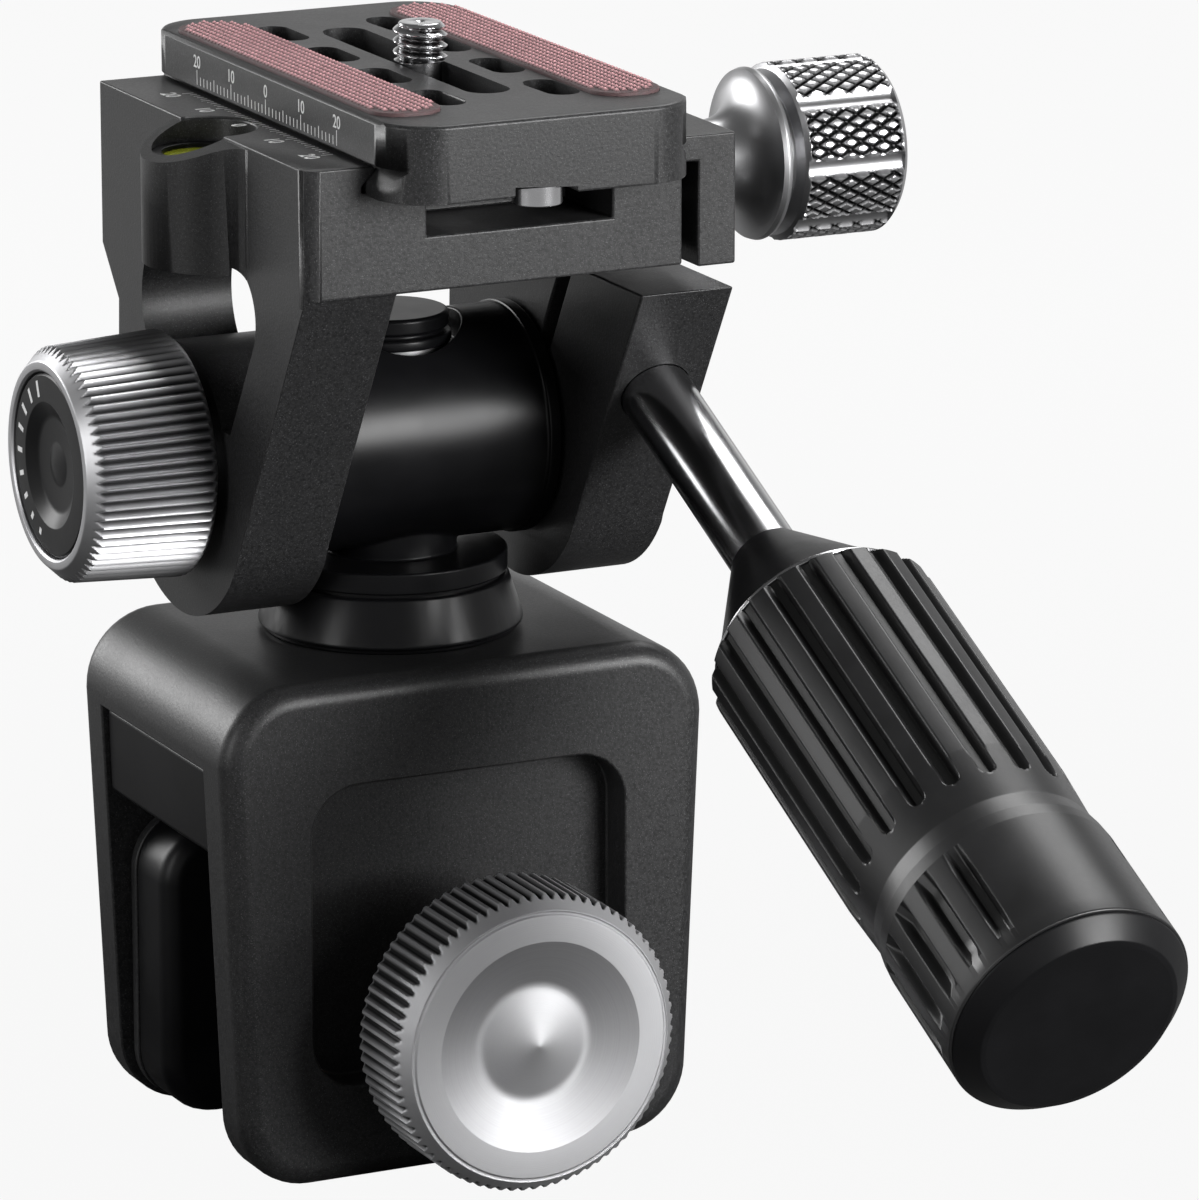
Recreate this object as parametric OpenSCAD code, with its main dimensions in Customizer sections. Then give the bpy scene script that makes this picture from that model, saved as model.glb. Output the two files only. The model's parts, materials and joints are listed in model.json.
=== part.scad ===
// Window mount head: a clamp for the edge of a pane of glass that carries a pan and tilt head.
// Frame: +X to the right along the tilt axis, +Y away from the user, +Z up.
// Origin: on the pan axis, on the face that sits on the edge of the glass.

/* [Clamp] */
// Width of the clamp over its top corners
clamp_top_w = 61.8; // [54:0.2:70]
// Width of the clamp over its bottom corners
clamp_bottom_w = 58.0; // [50:0.2:68]
// Depth of the clamp from front face to back face
clamp_depth = 44.4; // [42:0.2:56]
// Thickness of the bridge over the glass
bridge_t = 10.5; // [8:0.1:14]
// How far the legs reach below the edge of the glass
leg_reach = 39.8; // [36:0.2:52]
// Thickness of the front leg
front_leg_t = 7.0; // [6.4:0.1:8]
// Thickness of the back leg
back_leg_t = 6.6; // [5:0.1:8]
// Corner radius at the top of the clamp
clamp_top_r = 9.2; // [6:0.1:13]
// Corner radius at the bottom of the clamp
clamp_bottom_r = 8.8; // [5:0.1:11]
// Rounding of the front and back edges of the clamp
clamp_edge_r = 2.7; // [1:0.1:4]
// Width of the sunk panel in the front face
panel_w = 40.2; // [34:0.2:44]
// Height of the sunk panel
panel_h = 36.6; // [30:0.2:38]
// Distance from the top of the clamp to the top of the panel
panel_drop = 12.5; // [10:0.1:16]
// Corner radius of the panel
panel_r = 6.0; // [3:0.1:9]
// Depth of the panel
panel_depth = 4.8; // [2:0.1:5.2]

/* [Pads] */
// Height of the block that sits on the edge of the glass
seat_pad_h = 10.6; // [6:0.1:14]
// How far the seat block is sunk below the sides of the clamp
seat_pad_recess = 0.4; // [0.2:0.1:2]
// Width of the rear jaw pad
rear_pad_w = 55.6; // [44:0.2:56]
// Height of the rear jaw pad
rear_pad_h = 36.4; // [28:0.2:36.8]
// Gap between the seat block and the rear pad
rear_pad_drop = 2.5; // [1:0.1:5]
// Thickness of the rear jaw pad
rear_pad_t = 8.6; // [5:0.1:9]
// Corner radius of the rear jaw pad
rear_pad_r = 7.0; // [3:0.1:10]
// Rounding of the rear pad's face edge
rear_pad_edge_r = 2.4; // [0.8:0.1:4]
// Thickness of the plate behind the rear pad
rear_plate_t = 2.6; // [2:0.1:4]
// Shadow gap of the rear plate: depth of its stepped foot
rear_plate_step = 1.1; // [0.5:0.1:1.5]
// Diameter of the swivel plate on the clamp screw
press_d = 27; // [20:0.5:30]
// Thickness of the swivel plate
press_plate_t = 3.0; // [2.6:0.1:4]
// Thickness of the soft pad on the swivel plate
press_pad_t = 3.0; // [2:0.1:4]

/* [Clamp screw] */
// Distance of the clamp screw below the edge of the glass
screw_drop = 19.7; // [18.5:0.1:21]
// Diameter of the clamp screw
screw_d = 8.0; // [6:0.1:10]
// Diameter of the turned nose that carries the swivel plate
screw_nose_d = 6.0; // [4:0.1:7]
// Diameter of the threaded bush in the front leg
bush_d = 13.0; // [11:0.1:16]
// How far the bush stands out of the panel
bush_stand = 2.5; // [1:0.1:4]
// Gap between the bush and the swivel plate at rest
feed_open = 2.1; // [1:0.1:3]
// Diameter of the clamp knob over its knurl
knob_d = 35.8; // [28:0.2:37]
// Width of the knurled band of the clamp knob
knob_band = 10.2; // [6:0.1:12]
// Gap between the clamp knob and the front face at rest
knob_gap = 6.9; // [6.8:0.1:12]
// Diameter of the flat ring on the clamp knob's face
knob_ring_d = 32.4; // [24:0.2:33]
// Diameter of the dish in the clamp knob's face
knob_dish_d = 25.4; // [16:0.2:28]
// Depth of the dish in the clamp knob's face
knob_dish = 2.2; // [1:0.1:4]
// Diameter of the raised cone in the dish
knob_cone_d = 13.6; // [6:0.2:15]
// Height of the raised cone
knob_cone_h = 1.9; // [0.5:0.1:2]
// Height of the bevel between band and ring
knob_bevel = 2.0; // [0.8:0.1:3]

/* [Pan base] */
// Diameter of the pan base at its foot
pan_foot_d = 31.4; // [28:0.2:38]
// Diameter of the pan base at its top
pan_top_d = 28.0; // [26:0.2:28.2]
// Height of the pan base
pan_base_h = 6.4; // [4:0.1:7]
// Height of the shadow step under the pan base
pan_step = 0.7; // [0.3:0.1:1.5]
// Thickness of the thrust washer under the drum
thrust_t = 0.4; // [0.3:0.1:0.6]
// Diameter of the pan bolt
pan_bolt_d = 8.0; // [6:0.1:9]
// Diameter of the pan bolt's head
pan_head_d = 16.0; // [12:0.2:20]
// Thickness of the pan bolt's head
pan_head_t = 4.0; // [2.5:0.1:6]
// Outer diameter of the pan bush
pan_bush_d = 12.0; // [11:0.1:13]
// Diameter of the cap on the pan bolt
cap_d = 14.8; // [12:0.2:16]
// Height of the cap on the pan bolt
cap_h = 3.8; // [3:0.1:4.4]

/* [Tilt drum] */
// Gap between the arms' round ends and the clamp
arm_clear = 4.25; // [4.1:0.05:10]
// Diameter of the drum
drum_d = 27.2; // [24:0.2:30]
// Left end of the drum from the pan axis
drum_left = 13.9; // [13:0.1:16]
// Right end of the drum from the pan axis
drum_right = 16.0; // [14:0.1:18]
// Diameter of the neck under the drum
neck_d = 15.8; // [15:0.2:20]
// Diameter of the flange at the foot of the neck
flange_d = 27.8; // [26:0.2:28.4]
// Thickness of the flange
flange_t = 2.6; // [1.5:0.1:3]
// Diameter of the rim at the right end of the drum
drum_rim_d = 27.8; // [27:0.1:31]
// Width of the rim
drum_rim_w = 1.6; // [0.8:0.1:3]
// Diameter of the tilt axles
axle_d = 10.0; // [8:0.1:11]
// Length of axle held in the drum
axle_hold = 7.0; // [5:0.1:7.2]
// Outer diameter of the bush in the left arm
arm_bush_d = 13.0; // [12:0.1:16]
// Diameter of the friction discs
disc_d = 24.0; // [20:0.2:26]

/* [Yoke] */
// Height of the deck's underside above the tilt axis
deck_rise = 24.8; // [24:0.05:30]
// Thickness of the deck up to the plate bed
deck_t = 11.6; // [11:0.05:14]
// Length of the deck
deck_l = 59.9; // [58:0.1:70]
// How far the deck's front face stands out over the arms' front faces
deck_overhang = 0.36; // [0:0.02:2]
// Left side of the deck from the pan axis
deck_left = 26.5; // [26:0.1:30]
// Right side of the deck from the pan axis
deck_right = 20.4; // [20.2:0.1:22]
// Radius of the front corner of the deck
deck_corner_r = 2.0; // [0.8:0.1:3]
// Radius of the arms round the tilt axis
arm_r = 18.9; // [18:0.1:19.4]
// Distance of the arms' round ends below the tilt axis
arm_end_drop = 0.6; // [0:0.05:0.7]
// Distance of the arms' round ends behind the tilt axis
arm_end_back = 0.5; // [0:0.1:1]
// How far the arms' rear edges lean in towards the deck
arm_waist = 1.1; // [0:0.1:2]
// Slope of the arms' front faces from vertical
arm_slope = 30; // [25:1:32]
// Thickness of the left arm
arm_left_t = 11.4; // [10:0.1:11.4]
// Radius of the hub that the window leaves in the left arm
hub_r = 13.0; // [10:0.1:14]
// Width of the frame between the window and the arm's front face
arm_frame = 8.5; // [6:0.1:10]
// Width of the rear strut of the left arm at the window
arm_strut = 8.0; // [5:0.1:9]
// Radius of the window's rounded rear end
window_rear_r = 9.0; // [7:0.1:9]
// Radius of the window's front top corner
window_r = 6.0; // [3:0.1:7]
// Depth of the safety pockets below the plate bed
pocket_depth = 5.3; // [3.4:0.1:5.4]
// Width of the safety pockets
pocket_w = 23.1; // [12:0.1:26]
// Length of the front and back safety pockets
pocket_l = 12.4; // [8:0.1:14]

/* [Right arm] */
// Inner face of the right arm from the pan axis
arm_right_x = 16.5; // [16.4:0.1:17]
// Thickness of the right arm
arm_right_t = 11.8; // [11:0.1:12.4]
// Gap under the deck in front of the kerf
arm_top_gap = 3.8; // [3:0.1:6]
// Width of the clamping kerf
kerf_w = 2.6; // [1:0.1:3]
// Distance of the kerf in front of the tilt axis
kerf_shift = 1.75; // [1:0.05:2.5]
// Thickness of the cap over the right axle
axle_cap_t = 1.6; // [1:0.1:2.5]

/* [Level] */
// Radius of the level boss
level_boss_r = 8.6; // [8:0.1:10]
// Distance of the boss axis inside the left face of the deck
level_inset = 1.4; // [0:0.1:1.5]
// Distance of the level from the middle of the deck, towards the front
level_shift = 1.5; // [-3:0.1:3]
// Blend radius between boss and deck
level_blend_r = 6.0; // [3:0.1:8]
// Height of the boss
level_boss_h = 15.5; // [14:0.1:18]
// Diameter of the level
level_d = 12.0; // [9:0.1:12.2]
// Distance of the level's axis from the boss axis, to the left
level_left = 1.2; // [0:0.1:1.5]
// Distance of the level's axis from the boss axis, to the back
level_back = 0.6; // [0:0.1:1.5]
// Chamfer at the mouth of the level
level_chamfer = 0.4; // [0.2:0.1:0.8]
// Depth of the level's face below the rail
level_sink = 2.8; // [2:0.1:5]
// Thickness of the level
level_t = 5.6; // [3:0.1:7]
// Slope of the boss's rim
level_slope = 21; // [15:1:30]

/* [Quick plate] */
// Width of the plate, a standard 38 mm dovetail
plate_w = 38.0; // [37.6:0.1:38.4]
// Length of the plate
plate_l = 72.6; // [68:0.1:84]
// Thickness of the plate
plate_t = 8.9; // [8.4:0.1:10]
// Distance of the plate's middle in front of the pan axis
plate_shift = 8.7; // [7.6:0.1:10]
// Corner radius of the plate
plate_r = 6.5; // [3:0.1:7]
// Height of the land at the foot of the dovetail
dovetail_land = 1.55; // [1:0.05:2]
// Height of the sloped flank of the dovetail
dovetail_rise = 2.25; // [1.8:0.05:2.6]
// Width of the screw slots
slot_w = 4.0; // [3:0.1:5]
// Length of the screw slots
slot_l = 9.8; // [6:0.1:11]
// Spacing of the screw slots along the plate
slot_pitch = 14.5; // [13:0.1:16]
// Distance of the slot rows from the middle
slot_row = 7.1; // [6.9:0.1:7.3]
// Width of the long middle slot
mid_slot_w = 5.4; // [5.2:0.1:6]
// Length of the long middle slot
mid_slot_l = 44.4; // [40:0.2:48]
// Distance of the slots behind the middle of the plate
slot_shift = 0.9; // [0:0.1:1.5]
// Width of the rubber strips
strip_w = 8.6; // [6:0.1:8.8]
// Length of the rubber strips
strip_l = 61.0; // [50:0.2:63]
// Distance of the strips' middle line from the middle
strip_row = 13.65; // [13.6:0.05:14.2]
// Thickness of the rubber strips
strip_t = 1.1; // [0.9:0.1:2]
// How far the strips stand out of the plate
strip_proud = 0.4; // [0.2:0.1:0.8]
// Depth of the groove under the plate for the safety screws
plate_groove = 0.9; // [0.5:0.1:1.5]
// Left side of the groove from the middle
plate_groove_left = 4.7; // [4:0.1:6]
// Diameter of the safety screw heads
safety_d = 5.7; // [4:0.1:7]
// Height of the safety screw heads
safety_h = 2.6; // [1.5:0.1:3]
// Diameter of the safety screws' thread
safety_thread_d = 3.0; // [2.5:0.1:3.5]
// Length of the safety screws' thread
safety_thread_l = 4.6; // [3:0.1:6]
// Width of the hexagon in the safety screws
safety_hex = 2.5; // [2:0.1:2.8]
// Distance of the safety screws from the ends of the plate
safety_inset = 4.2; // [4:0.1:6]

/* [Camera screw] */
// Diameter of the camera screw, 1/4 inch
camera_d = 6.35; // [6.3:0.01:6.4]
// Length of camera thread above the plate
camera_l = 4.8; // [4:0.1:6]
// Diameter of the screw's neck in the slot
camera_neck_d = 5.0; // [4.5:0.05:5]
// Diameter of the camera screw's head
camera_head_d = 9.4; // [8:0.1:9.8]
// Thickness of the camera screw's head
camera_head_t = 2.2; // [1.5:0.1:2.4]
// Width of the hexagon in the camera screw's head
camera_hex = 4.0; // [3:0.1:5]
// Thickness of the captive washer
captive_t = 0.8; // [0.5:0.1:1]

/* [Jaw] */
// Gap between the deck and the jaw
jaw_gap = 2.0; // [1:0.1:3]
// Thickness of the jaw
jaw_t = 4.8; // [4:0.1:5]
// How far the jaw hangs below the deck
jaw_drop = 0.45; // [0.2:0.05:1.5]
// Distance of the jaw screw behind the middle of the deck
jaw_screw_shift = -1.5; // [-4:0.1:4]
// Height of the jaw screw above the deck's underside
jaw_screw_rise = 5.7; // [5:0.1:6]
// Diameter of the jaw screw
jaw_screw_d = 6.0; // [5:0.1:6.4]
// Diameter of the jaw's guide pins
guide_d = 4.0; // [3:0.1:5]
// Length of guide pin held in the deck
guide_hold = 7.0; // [5:0.1:8]
// Spacing of the guide pins
guide_spacing = 34; // [30:0.5:40]
// Length of the jaw knob's trumpet neck
jaw_neck_l = 16.6; // [12:0.1:20]
// Diameter of the jaw knob's neck
jaw_neck_d = 9.0; // [8:0.1:12]
// Diameter of the jaw knob's lip
jaw_lip_d = 20.2; // [16:0.1:22]
// Diameter of the jaw knob's head
jaw_head_d = 21.2; // [18:0.1:24]
// Length of the jaw knob's head
jaw_head_l = 15.3; // [10:0.1:18]
// Number of smooth flutes in the jaw knob
jaw_flutes = 8; // [6:1:10]
// Radius of the flutes
jaw_flute_r = 1.6; // [1.2:0.1:2.4]
// Depth of the flutes
jaw_flute_depth = 0.7; // [0.4:0.1:1]

/* [Friction knob] */
// Diameter of the friction knob at its outer end
friction_front_d = 27.6; // [22:0.2:30]
// Diameter of the friction knob at the arm
friction_back_d = 29.0; // [24:0.2:31]
// Length of the friction knob
friction_l = 15.6; // [10:0.1:18]
// Gap between the friction knob and the arm
friction_gap = 1.3; // [0.8:0.1:2]
// Diameter of the dial disc
dial_d = 21.8; // [16:0.2:24]
// Thickness of the dial disc
dial_t = 2.4; // [1.6:0.1:3]
// Depth of the dish in the dial disc
dial_dish = 1.2; // [0.5:0.1:1.2]
// Diameter of the dish in the dial disc
dial_dish_d = 14.8; // [10:0.2:15]

/* [Handle] */
// Slope of the handle below the horizontal
handle_pitch = 25; // [23:1:28]
// Height where the handle leaves the right arm, above the tilt axis
handle_rise = 7.6; // [7:0.1:8]
// Distance of the rod from the middle of the right arm, to the left
handle_shift = 0.35; // [0:0.05:0.6]
// Diameter of the handle rod
rod_d = 8.4; // [6.4:0.1:9]
// Diameter of the rod's threaded end in the arm
rod_end_d = 6.0; // [5:0.1:6.4]
// Length of rod between the arm and the grip
rod_l = 31.6; // [24:0.5:40]
// Length of the conical collar
collar_l = 15.2; // [8:0.1:17]
// Diameter of the collar at the rod
collar_d = 9.2; // [9:0.1:14]
// Diameter of the grip
grip_d = 27.8; // [24:0.2:28]
// Length of the grip from the collar to the end cap
grip_l = 63.0; // [58:0.2:76]
// Diameter of the grip's end section
grip_end_d = 28.2; // [26:0.2:30]
// Length of the grip's end section
grip_end_l = 18.0; // [12:0.2:24]
// Diameter of the grip's waist
waist_d = 27.0; // [22:0.2:27.4]
// Number of long grooves round the grip
groove_count = 20; // [16:1:24]
// Grooves left out of the end section, for a smooth patch
groove_skip = 4; // [0:1:6]
// Direction of the smooth patch round the grip
patch_angle = 86; // [0:1:360]
// Width of the grooves
groove_w = 2.6; // [1.5:0.1:3]
// Depth of the grooves
groove_depth = 1.0; // [0.4:0.1:1.3]
// Thickness of the grip's end cap
end_cap_t = 2.4; // [1.5:0.1:4]
// Diameter of the flat of the end cap
end_cap_d = 23.2; // [18:0.2:26]

/* [Hidden] */
$fn = 96;

// Finishes
black = [0.13, 0.13, 0.135];
rubber = [0.08, 0.08, 0.085];
satin = [0.68, 0.68, 0.69];
steel = [0.78, 0.78, 0.79];
bronze = [0.66, 0.48, 0.26];
brick = [0.52, 0.25, 0.25];
green = [0.62, 0.66, 0.12];

// Clearances
running = 0.05;
face_gap = 0.05;
open_gap = 0.3;
past = 1;

// Clamp levels
slot_top = seat_pad_h;
clamp_top = slot_top + bridge_t;
clamp_bottom = -leg_reach;
clamp_front = -clamp_depth / 2;
clamp_back = clamp_depth / 2;
slot_front = clamp_front + front_leg_t;
slot_back = clamp_back - back_leg_t;
panel_z = clamp_top - panel_drop - panel_h / 2;
panel_floor = clamp_front + panel_depth;
screw_z = -screw_drop;

// Bush and feed along Y
bush_back = slot_front + 1.5;
press_back = bush_back + feed_open;
press_face = press_back + press_plate_t;
nose_l = press_plate_t - 0.6;
knob_back = clamp_front - knob_gap;
knob_front = knob_back - knob_band - knob_bevel;
screw_head = knob_front + 4.6;

// Pan levels
pan_top = clamp_top + pan_base_h;
neck_bottom = pan_top + thrust_t + face_gap;
tilt_z = clamp_top + arm_clear + arm_end_drop + arm_r;
spot_z = tilt_z + drum_d / 2 - 3.6;
spot_d = cap_d + 2.2;
cap_washer_t = 0.6;
cap_z = spot_z + face_gap + cap_washer_t;

// Yoke places
deck_z = tilt_z + deck_rise;
bed_z = deck_z + deck_t;
rail_z = bed_z + dovetail_land + dovetail_rise - 0.5;
arm_inner = -deck_left + arm_left_t;
arm_right_out = arm_right_x + arm_right_t;
arm_end = [arm_end_back, -arm_end_drop];
arm_plane = arm_r - arm_end_back * cos(arm_slope) + arm_end_drop * sin(arm_slope);
arm_rear = arm_r + arm_end_back;
deck_y0 = -(arm_plane + deck_rise * sin(arm_slope)) / cos(arm_slope) - deck_overhang;
deck_y1 = deck_y0 + deck_l;
deck_mid = (deck_y0 + deck_y1) / 2;
level_x = -deck_left + level_inset;
level_y = deck_mid - level_shift;
vial_x = level_x - level_left;
vial_y = level_y + level_back;

// Dovetail shared by the plate, the rail and the jaw
plate_z = bed_z + face_gap;
plate_top = plate_z + plate_t;
neck_half = plate_w / 2 - dovetail_rise;
notch_z = plate_z + dovetail_land + dovetail_rise;
flank_gap = 0.12;
lip_half = neck_half + (notch_z - rail_z) + flank_gap + 0.6;
lip_z = notch_z - (lip_half - neck_half - flank_gap);
bay_half = plate_w / 2 + flank_gap + 0.5;
bay_z = notch_z - (bay_half - neck_half - flank_gap);
plate_y = -plate_shift;
slot_y = plate_y + slot_shift;
camera_y = plate_y - 0.75;
counter_w = 10.0;
counter_d = 4.0;
counter_z = plate_z + counter_d;
safety_top = plate_z + safety_thread_l;

// Jaw places
jaw_in = deck_right + jaw_gap;
jaw_out = jaw_in + jaw_t;
jaw_y = deck_mid + jaw_screw_shift;
jaw_z = deck_z + jaw_screw_rise;
jaw_step_z = bed_z + 0.25;
guide_end = jaw_out - 1.2;
jaw_screw_end = -2;
jaw_knob_x = jaw_out + open_gap;
jaw_lip_x = jaw_knob_x + jaw_neck_l;
jaw_head_x = jaw_lip_x + 1.4;
jaw_end_x = jaw_lip_x + jaw_head_l;

// Friction knob along X
friction_back = -deck_left - friction_gap;
friction_front = friction_back - friction_l;
stem_d = axle_d - 2;
stem_end = friction_front + dial_t + 2.2;

// Handle frame: its own +Z runs out along the rod
handle_x = arm_right_x + arm_right_t / 2 - handle_shift;
handle_y = -(arm_plane + handle_rise * sin(arm_slope)) / cos(arm_slope);
handle_z = tilt_z + handle_rise;
rod_sink = 0.9;
rod_hold = 14;
kerf_depth = (arm_plane - kerf_shift + kerf_w / 2) / cos(arm_slope - handle_pitch);
rod_end_l = kerf_depth + 3.4;
collar_z = rod_l;
grip_z = collar_z + collar_l;
grip_end_z = grip_z + grip_l - grip_end_l;
cap_face_z = grip_z + grip_l + end_cap_t;
groove_l = grip_l - grip_end_l - 5.6 - groove_w / 2;
groove_step = 360 / groove_count;

// Half width of the clamp at a height
function clamp_half(z) =
    let (t = (clamp_top - z) / (clamp_top - clamp_bottom))
    (clamp_top_w * (1 - t) + clamp_bottom_w * t) / 2;

// Points of an arc, for outlines that are turned
function arc(cx, cy, r, from, to, steps = 10) =
    [for (i = [0 : steps]) let (a = from + (to - from) * i / steps) [cx + r * cos(a), cy + r * sin(a)]];

// Outline in Y and Z, drawn out along X
module span_x(x0, x1) {
    translate([x0, 0, 0])
        rotate([90, 0, 90])
            linear_extrude(x1 - x0) children();
}

// Outline in X and Z, drawn out along Y
module span_y(y0, y1) {
    translate([0, y1, 0])
        rotate([90, 0, 0])
            linear_extrude(y1 - y0) children();
}

// Outline in X and Y, drawn out along Z
module span_z(z0, z1) {
    translate([0, 0, z0])
        linear_extrude(z1 - z0) children();
}

module rod_x(x0, x1, d, y = 0, z = 0) {
    translate([x0, y, z])
        rotate([0, 90, 0])
            cylinder(d = d, h = x1 - x0);
}

module rod_y(y0, y1, d, x = 0, z = 0) {
    translate([x, y0, z])
        rotate([-90, 0, 0])
            cylinder(d = d, h = y1 - y0);
}

module rod_z(z0, z1, d, x = 0, y = 0) {
    translate([x, y, z0])
        cylinder(d = d, h = z1 - z0);
}

// Turned shapes: outline points are [radius, place along the axis]
module turned_x(points, y = 0, z = 0) {
    translate([0, y, z])
        rotate([0, 90, 0])
            rotate_extrude() polygon(points);
}

module turned_y(points, x = 0, z = 0) {
    translate([x, 0, z])
        rotate([-90, 0, 0])
            rotate_extrude() polygon(points);
}

module turned_z(points) {
    rotate_extrude() polygon(points);
}

module rounded_rect(w, h, r) {
    square([w - 2 * r, h], center = true);
    square([w, h - 2 * r], center = true);
    for (sx = [-1, 1], sy = [-1, 1])
        translate([sx * (w / 2 - r), sy * (h / 2 - r)]) circle(r = r);
}

// Slot with round ends along Y
module obround(w, l) {
    square([w, l - w], center = true);
    for (s = [-1, 1])
        translate([0, s * (l - w) / 2]) circle(d = w);
}

module ring_z(z0, z1, d, bore) {
    difference() {
        rod_z(z0, z1, d);
        rod_z(z0 - past, z1 + past, bore);
    }
}

module ring_x(x0, x1, d, bore) {
    difference() {
        rod_x(x0, x1, d);
        rod_x(x0 - past, x1 + past, bore);
    }
}

module at_tilt() {
    translate([0, 0, tilt_z]) children();
}

module on_handle() {
    translate([handle_x, handle_y, handle_z])
        rotate([90 + handle_pitch, 0, 0]) children();
}

// Clamp: block with tapered sides, stretched over four round corner pucks
module corner_puck(r, x, z) {
    e = clamp_edge_r;
    y0 = clamp_front + e;
    y1 = clamp_back - e;
    turned_y(concat([[0, clamp_front]], arc(r - e, y0, e, -90, 0, 6), arc(r - e, y1, e, 0, 90, 6),
        [[0, clamp_back]]), x, z, $fn = 48);
}

module clamp_block() {
    hull()
        for (s = [-1, 1]) {
            corner_puck(clamp_top_r, s * (clamp_top_w / 2 - clamp_top_r), clamp_top - clamp_top_r);
            corner_puck(clamp_bottom_r, s * (clamp_bottom_w / 2 - clamp_bottom_r),
                clamp_bottom + clamp_bottom_r);
        }
}

module clamp_body() {
    color(black)
        difference() {
            union() {
                difference() {
                    clamp_block();
                    translate([-clamp_top_w, slot_front, clamp_bottom - past])
                        cube([2 * clamp_top_w, slot_back - slot_front, slot_top - clamp_bottom + past]);
                    span_y(clamp_front - past, panel_floor)
                        translate([0, panel_z]) rounded_rect(panel_w, panel_h, panel_r);
                }
                rod_y(panel_floor, bush_back, bush_d + 8, 0, screw_z);
            }
            rod_y(clamp_front - past, bush_back + past, bush_d, 0, screw_z);
            rod_z(slot_top - past, clamp_top + past, pan_bolt_d);
            rod_z(slot_top - past, slot_top + pan_head_t, pan_head_d);
        }
}

module glass_edge_pad() {
    top_half = clamp_half(slot_top) - seat_pad_recess;
    low_half = clamp_half(0) - seat_pad_recess;
    color(rubber)
        span_y(slot_front, slot_back)
            polygon([[-low_half, 0], [low_half, 0], [top_half, slot_top], [-top_half, slot_top]]);
}

module rear_pad_outline(inset) {
    translate([0, -rear_pad_drop - rear_pad_h / 2])
        rounded_rect(rear_pad_w - 2 * inset, rear_pad_h - 2 * inset, rear_pad_r - inset);
}

module rear_pad_plate() {
    color(black)
        union() {
            span_y(slot_back - rear_plate_step, slot_back) rear_pad_outline(rear_plate_step);
            span_y(slot_back - rear_plate_t, slot_back - rear_plate_step) rear_pad_outline(0);
        }
}

module rear_jaw_pad() {
    back = slot_back - rear_plate_t;
    face = back - rear_pad_t;
    color(rubber)
        hull() {
            span_y(face + rear_pad_edge_r, back) rear_pad_outline(0.2, $fn = 32);
            for (a = [30, 60, 90])
                span_y(face + rear_pad_edge_r * (1 - sin(a)), back)
                    rear_pad_outline(0.2 + rear_pad_edge_r * (1 - cos(a)), $fn = 32);
        }
}

module screw_bush() {
    color(bronze)
        difference() {
            rod_y(panel_floor - bush_stand, bush_back, bush_d, 0, screw_z);
            rod_y(clamp_front - past, bush_back + past, screw_d + 2 * running, 0, screw_z);
        }
}

// Pan axis
module pan_base() {
    color(black)
        difference() {
            turned_z([[0, clamp_top], [pan_foot_d / 2 - 0.6, clamp_top],
                [pan_foot_d / 2 - 0.6, clamp_top + pan_step], [pan_foot_d / 2, clamp_top + pan_step],
                [pan_foot_d / 2, clamp_top + pan_step + 0.5], [pan_top_d / 2, pan_top], [0, pan_top]]);
            rod_z(clamp_top - past, pan_top + past, pan_bolt_d);
        }
}

module pan_bolt() {
    color(steel)
        union() {
            rod_z(slot_top, slot_top + pan_head_t, pan_head_d);
            rod_z(slot_top, cap_z + cap_h - 1.2, pan_bolt_d);
        }
}

module pan_thrust_washer() {
    color(steel) ring_z(pan_top, pan_top + thrust_t, pan_top_d - 1.4, pan_bolt_d);
}

module pan_cap_washer() {
    color(steel) ring_z(spot_z + face_gap, cap_z, cap_d - 0.6, pan_bolt_d);
}

module pan_cap() {
    color(black)
        difference() {
            turned_z([[0, cap_z], [cap_d / 2, cap_z], [cap_d / 2, cap_z + 1.3],
                [cap_d / 2 - 1, cap_z + 1.3], [cap_d / 2 - 1, cap_z + 1.9],
                [cap_d / 2 - 0.3, cap_z + 1.9], [cap_d / 2 - 0.3, cap_z + cap_h - 0.3],
                [cap_d / 2 - 0.6, cap_z + cap_h], [0, cap_z + cap_h]]);
            rod_z(cap_z - past, cap_z + cap_h - 1.2, pan_bolt_d);
        }
}

// Feed: swivel plate, screw and knob
module pressure_plate() {
    color(steel)
        difference() {
            rod_y(press_back, press_face, press_d, 0, screw_z);
            rod_y(press_back - past, press_back + nose_l + 0.1, screw_nose_d + 2 * running, 0, screw_z);
        }
}

module pressure_pad() {
    color(rubber)
        turned_y([[0, press_face], [press_d / 2, press_face], [press_d / 2, press_face + press_pad_t - 0.8],
            [press_d / 2 - 0.8, press_face + press_pad_t], [0, press_face + press_pad_t]], 0, screw_z);
}

module clamp_screw() {
    color(steel)
        turned_y([[0, screw_head], [screw_d / 2, screw_head],
            [screw_d / 2, press_back - face_gap], [screw_nose_d / 2, press_back - face_gap],
            [screw_nose_d / 2, press_back + nose_l - 0.4],
            [screw_nose_d / 2 - 0.4, press_back + nose_l], [0, press_back + nose_l]], 0, screw_z);
}

module clamp_knob() {
    r = knob_d / 2;
    ring = knob_ring_d / 2;
    dish = knob_dish_d / 2;
    cone = knob_cone_d / 2;
    floor = knob_front + knob_dish;
    sweep = 60;
    color(satin)
        difference() {
            turned_y(concat([[0, knob_back], [r - 1, knob_back], [r, knob_back - 1],
                [r, knob_front + knob_bevel], [ring, knob_front + 0.3], [ring - 0.4, knob_front],
                [dish, knob_front]],
                arc(dish, floor, knob_dish, -90, -90 - sweep, 6),
                [[cone + 0.5, floor], [cone, floor - 0.1], [0, floor - knob_cone_h]]), 0, screw_z);
            rod_y(screw_head, knob_back + past, screw_d, 0, screw_z);
        }
}

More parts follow.
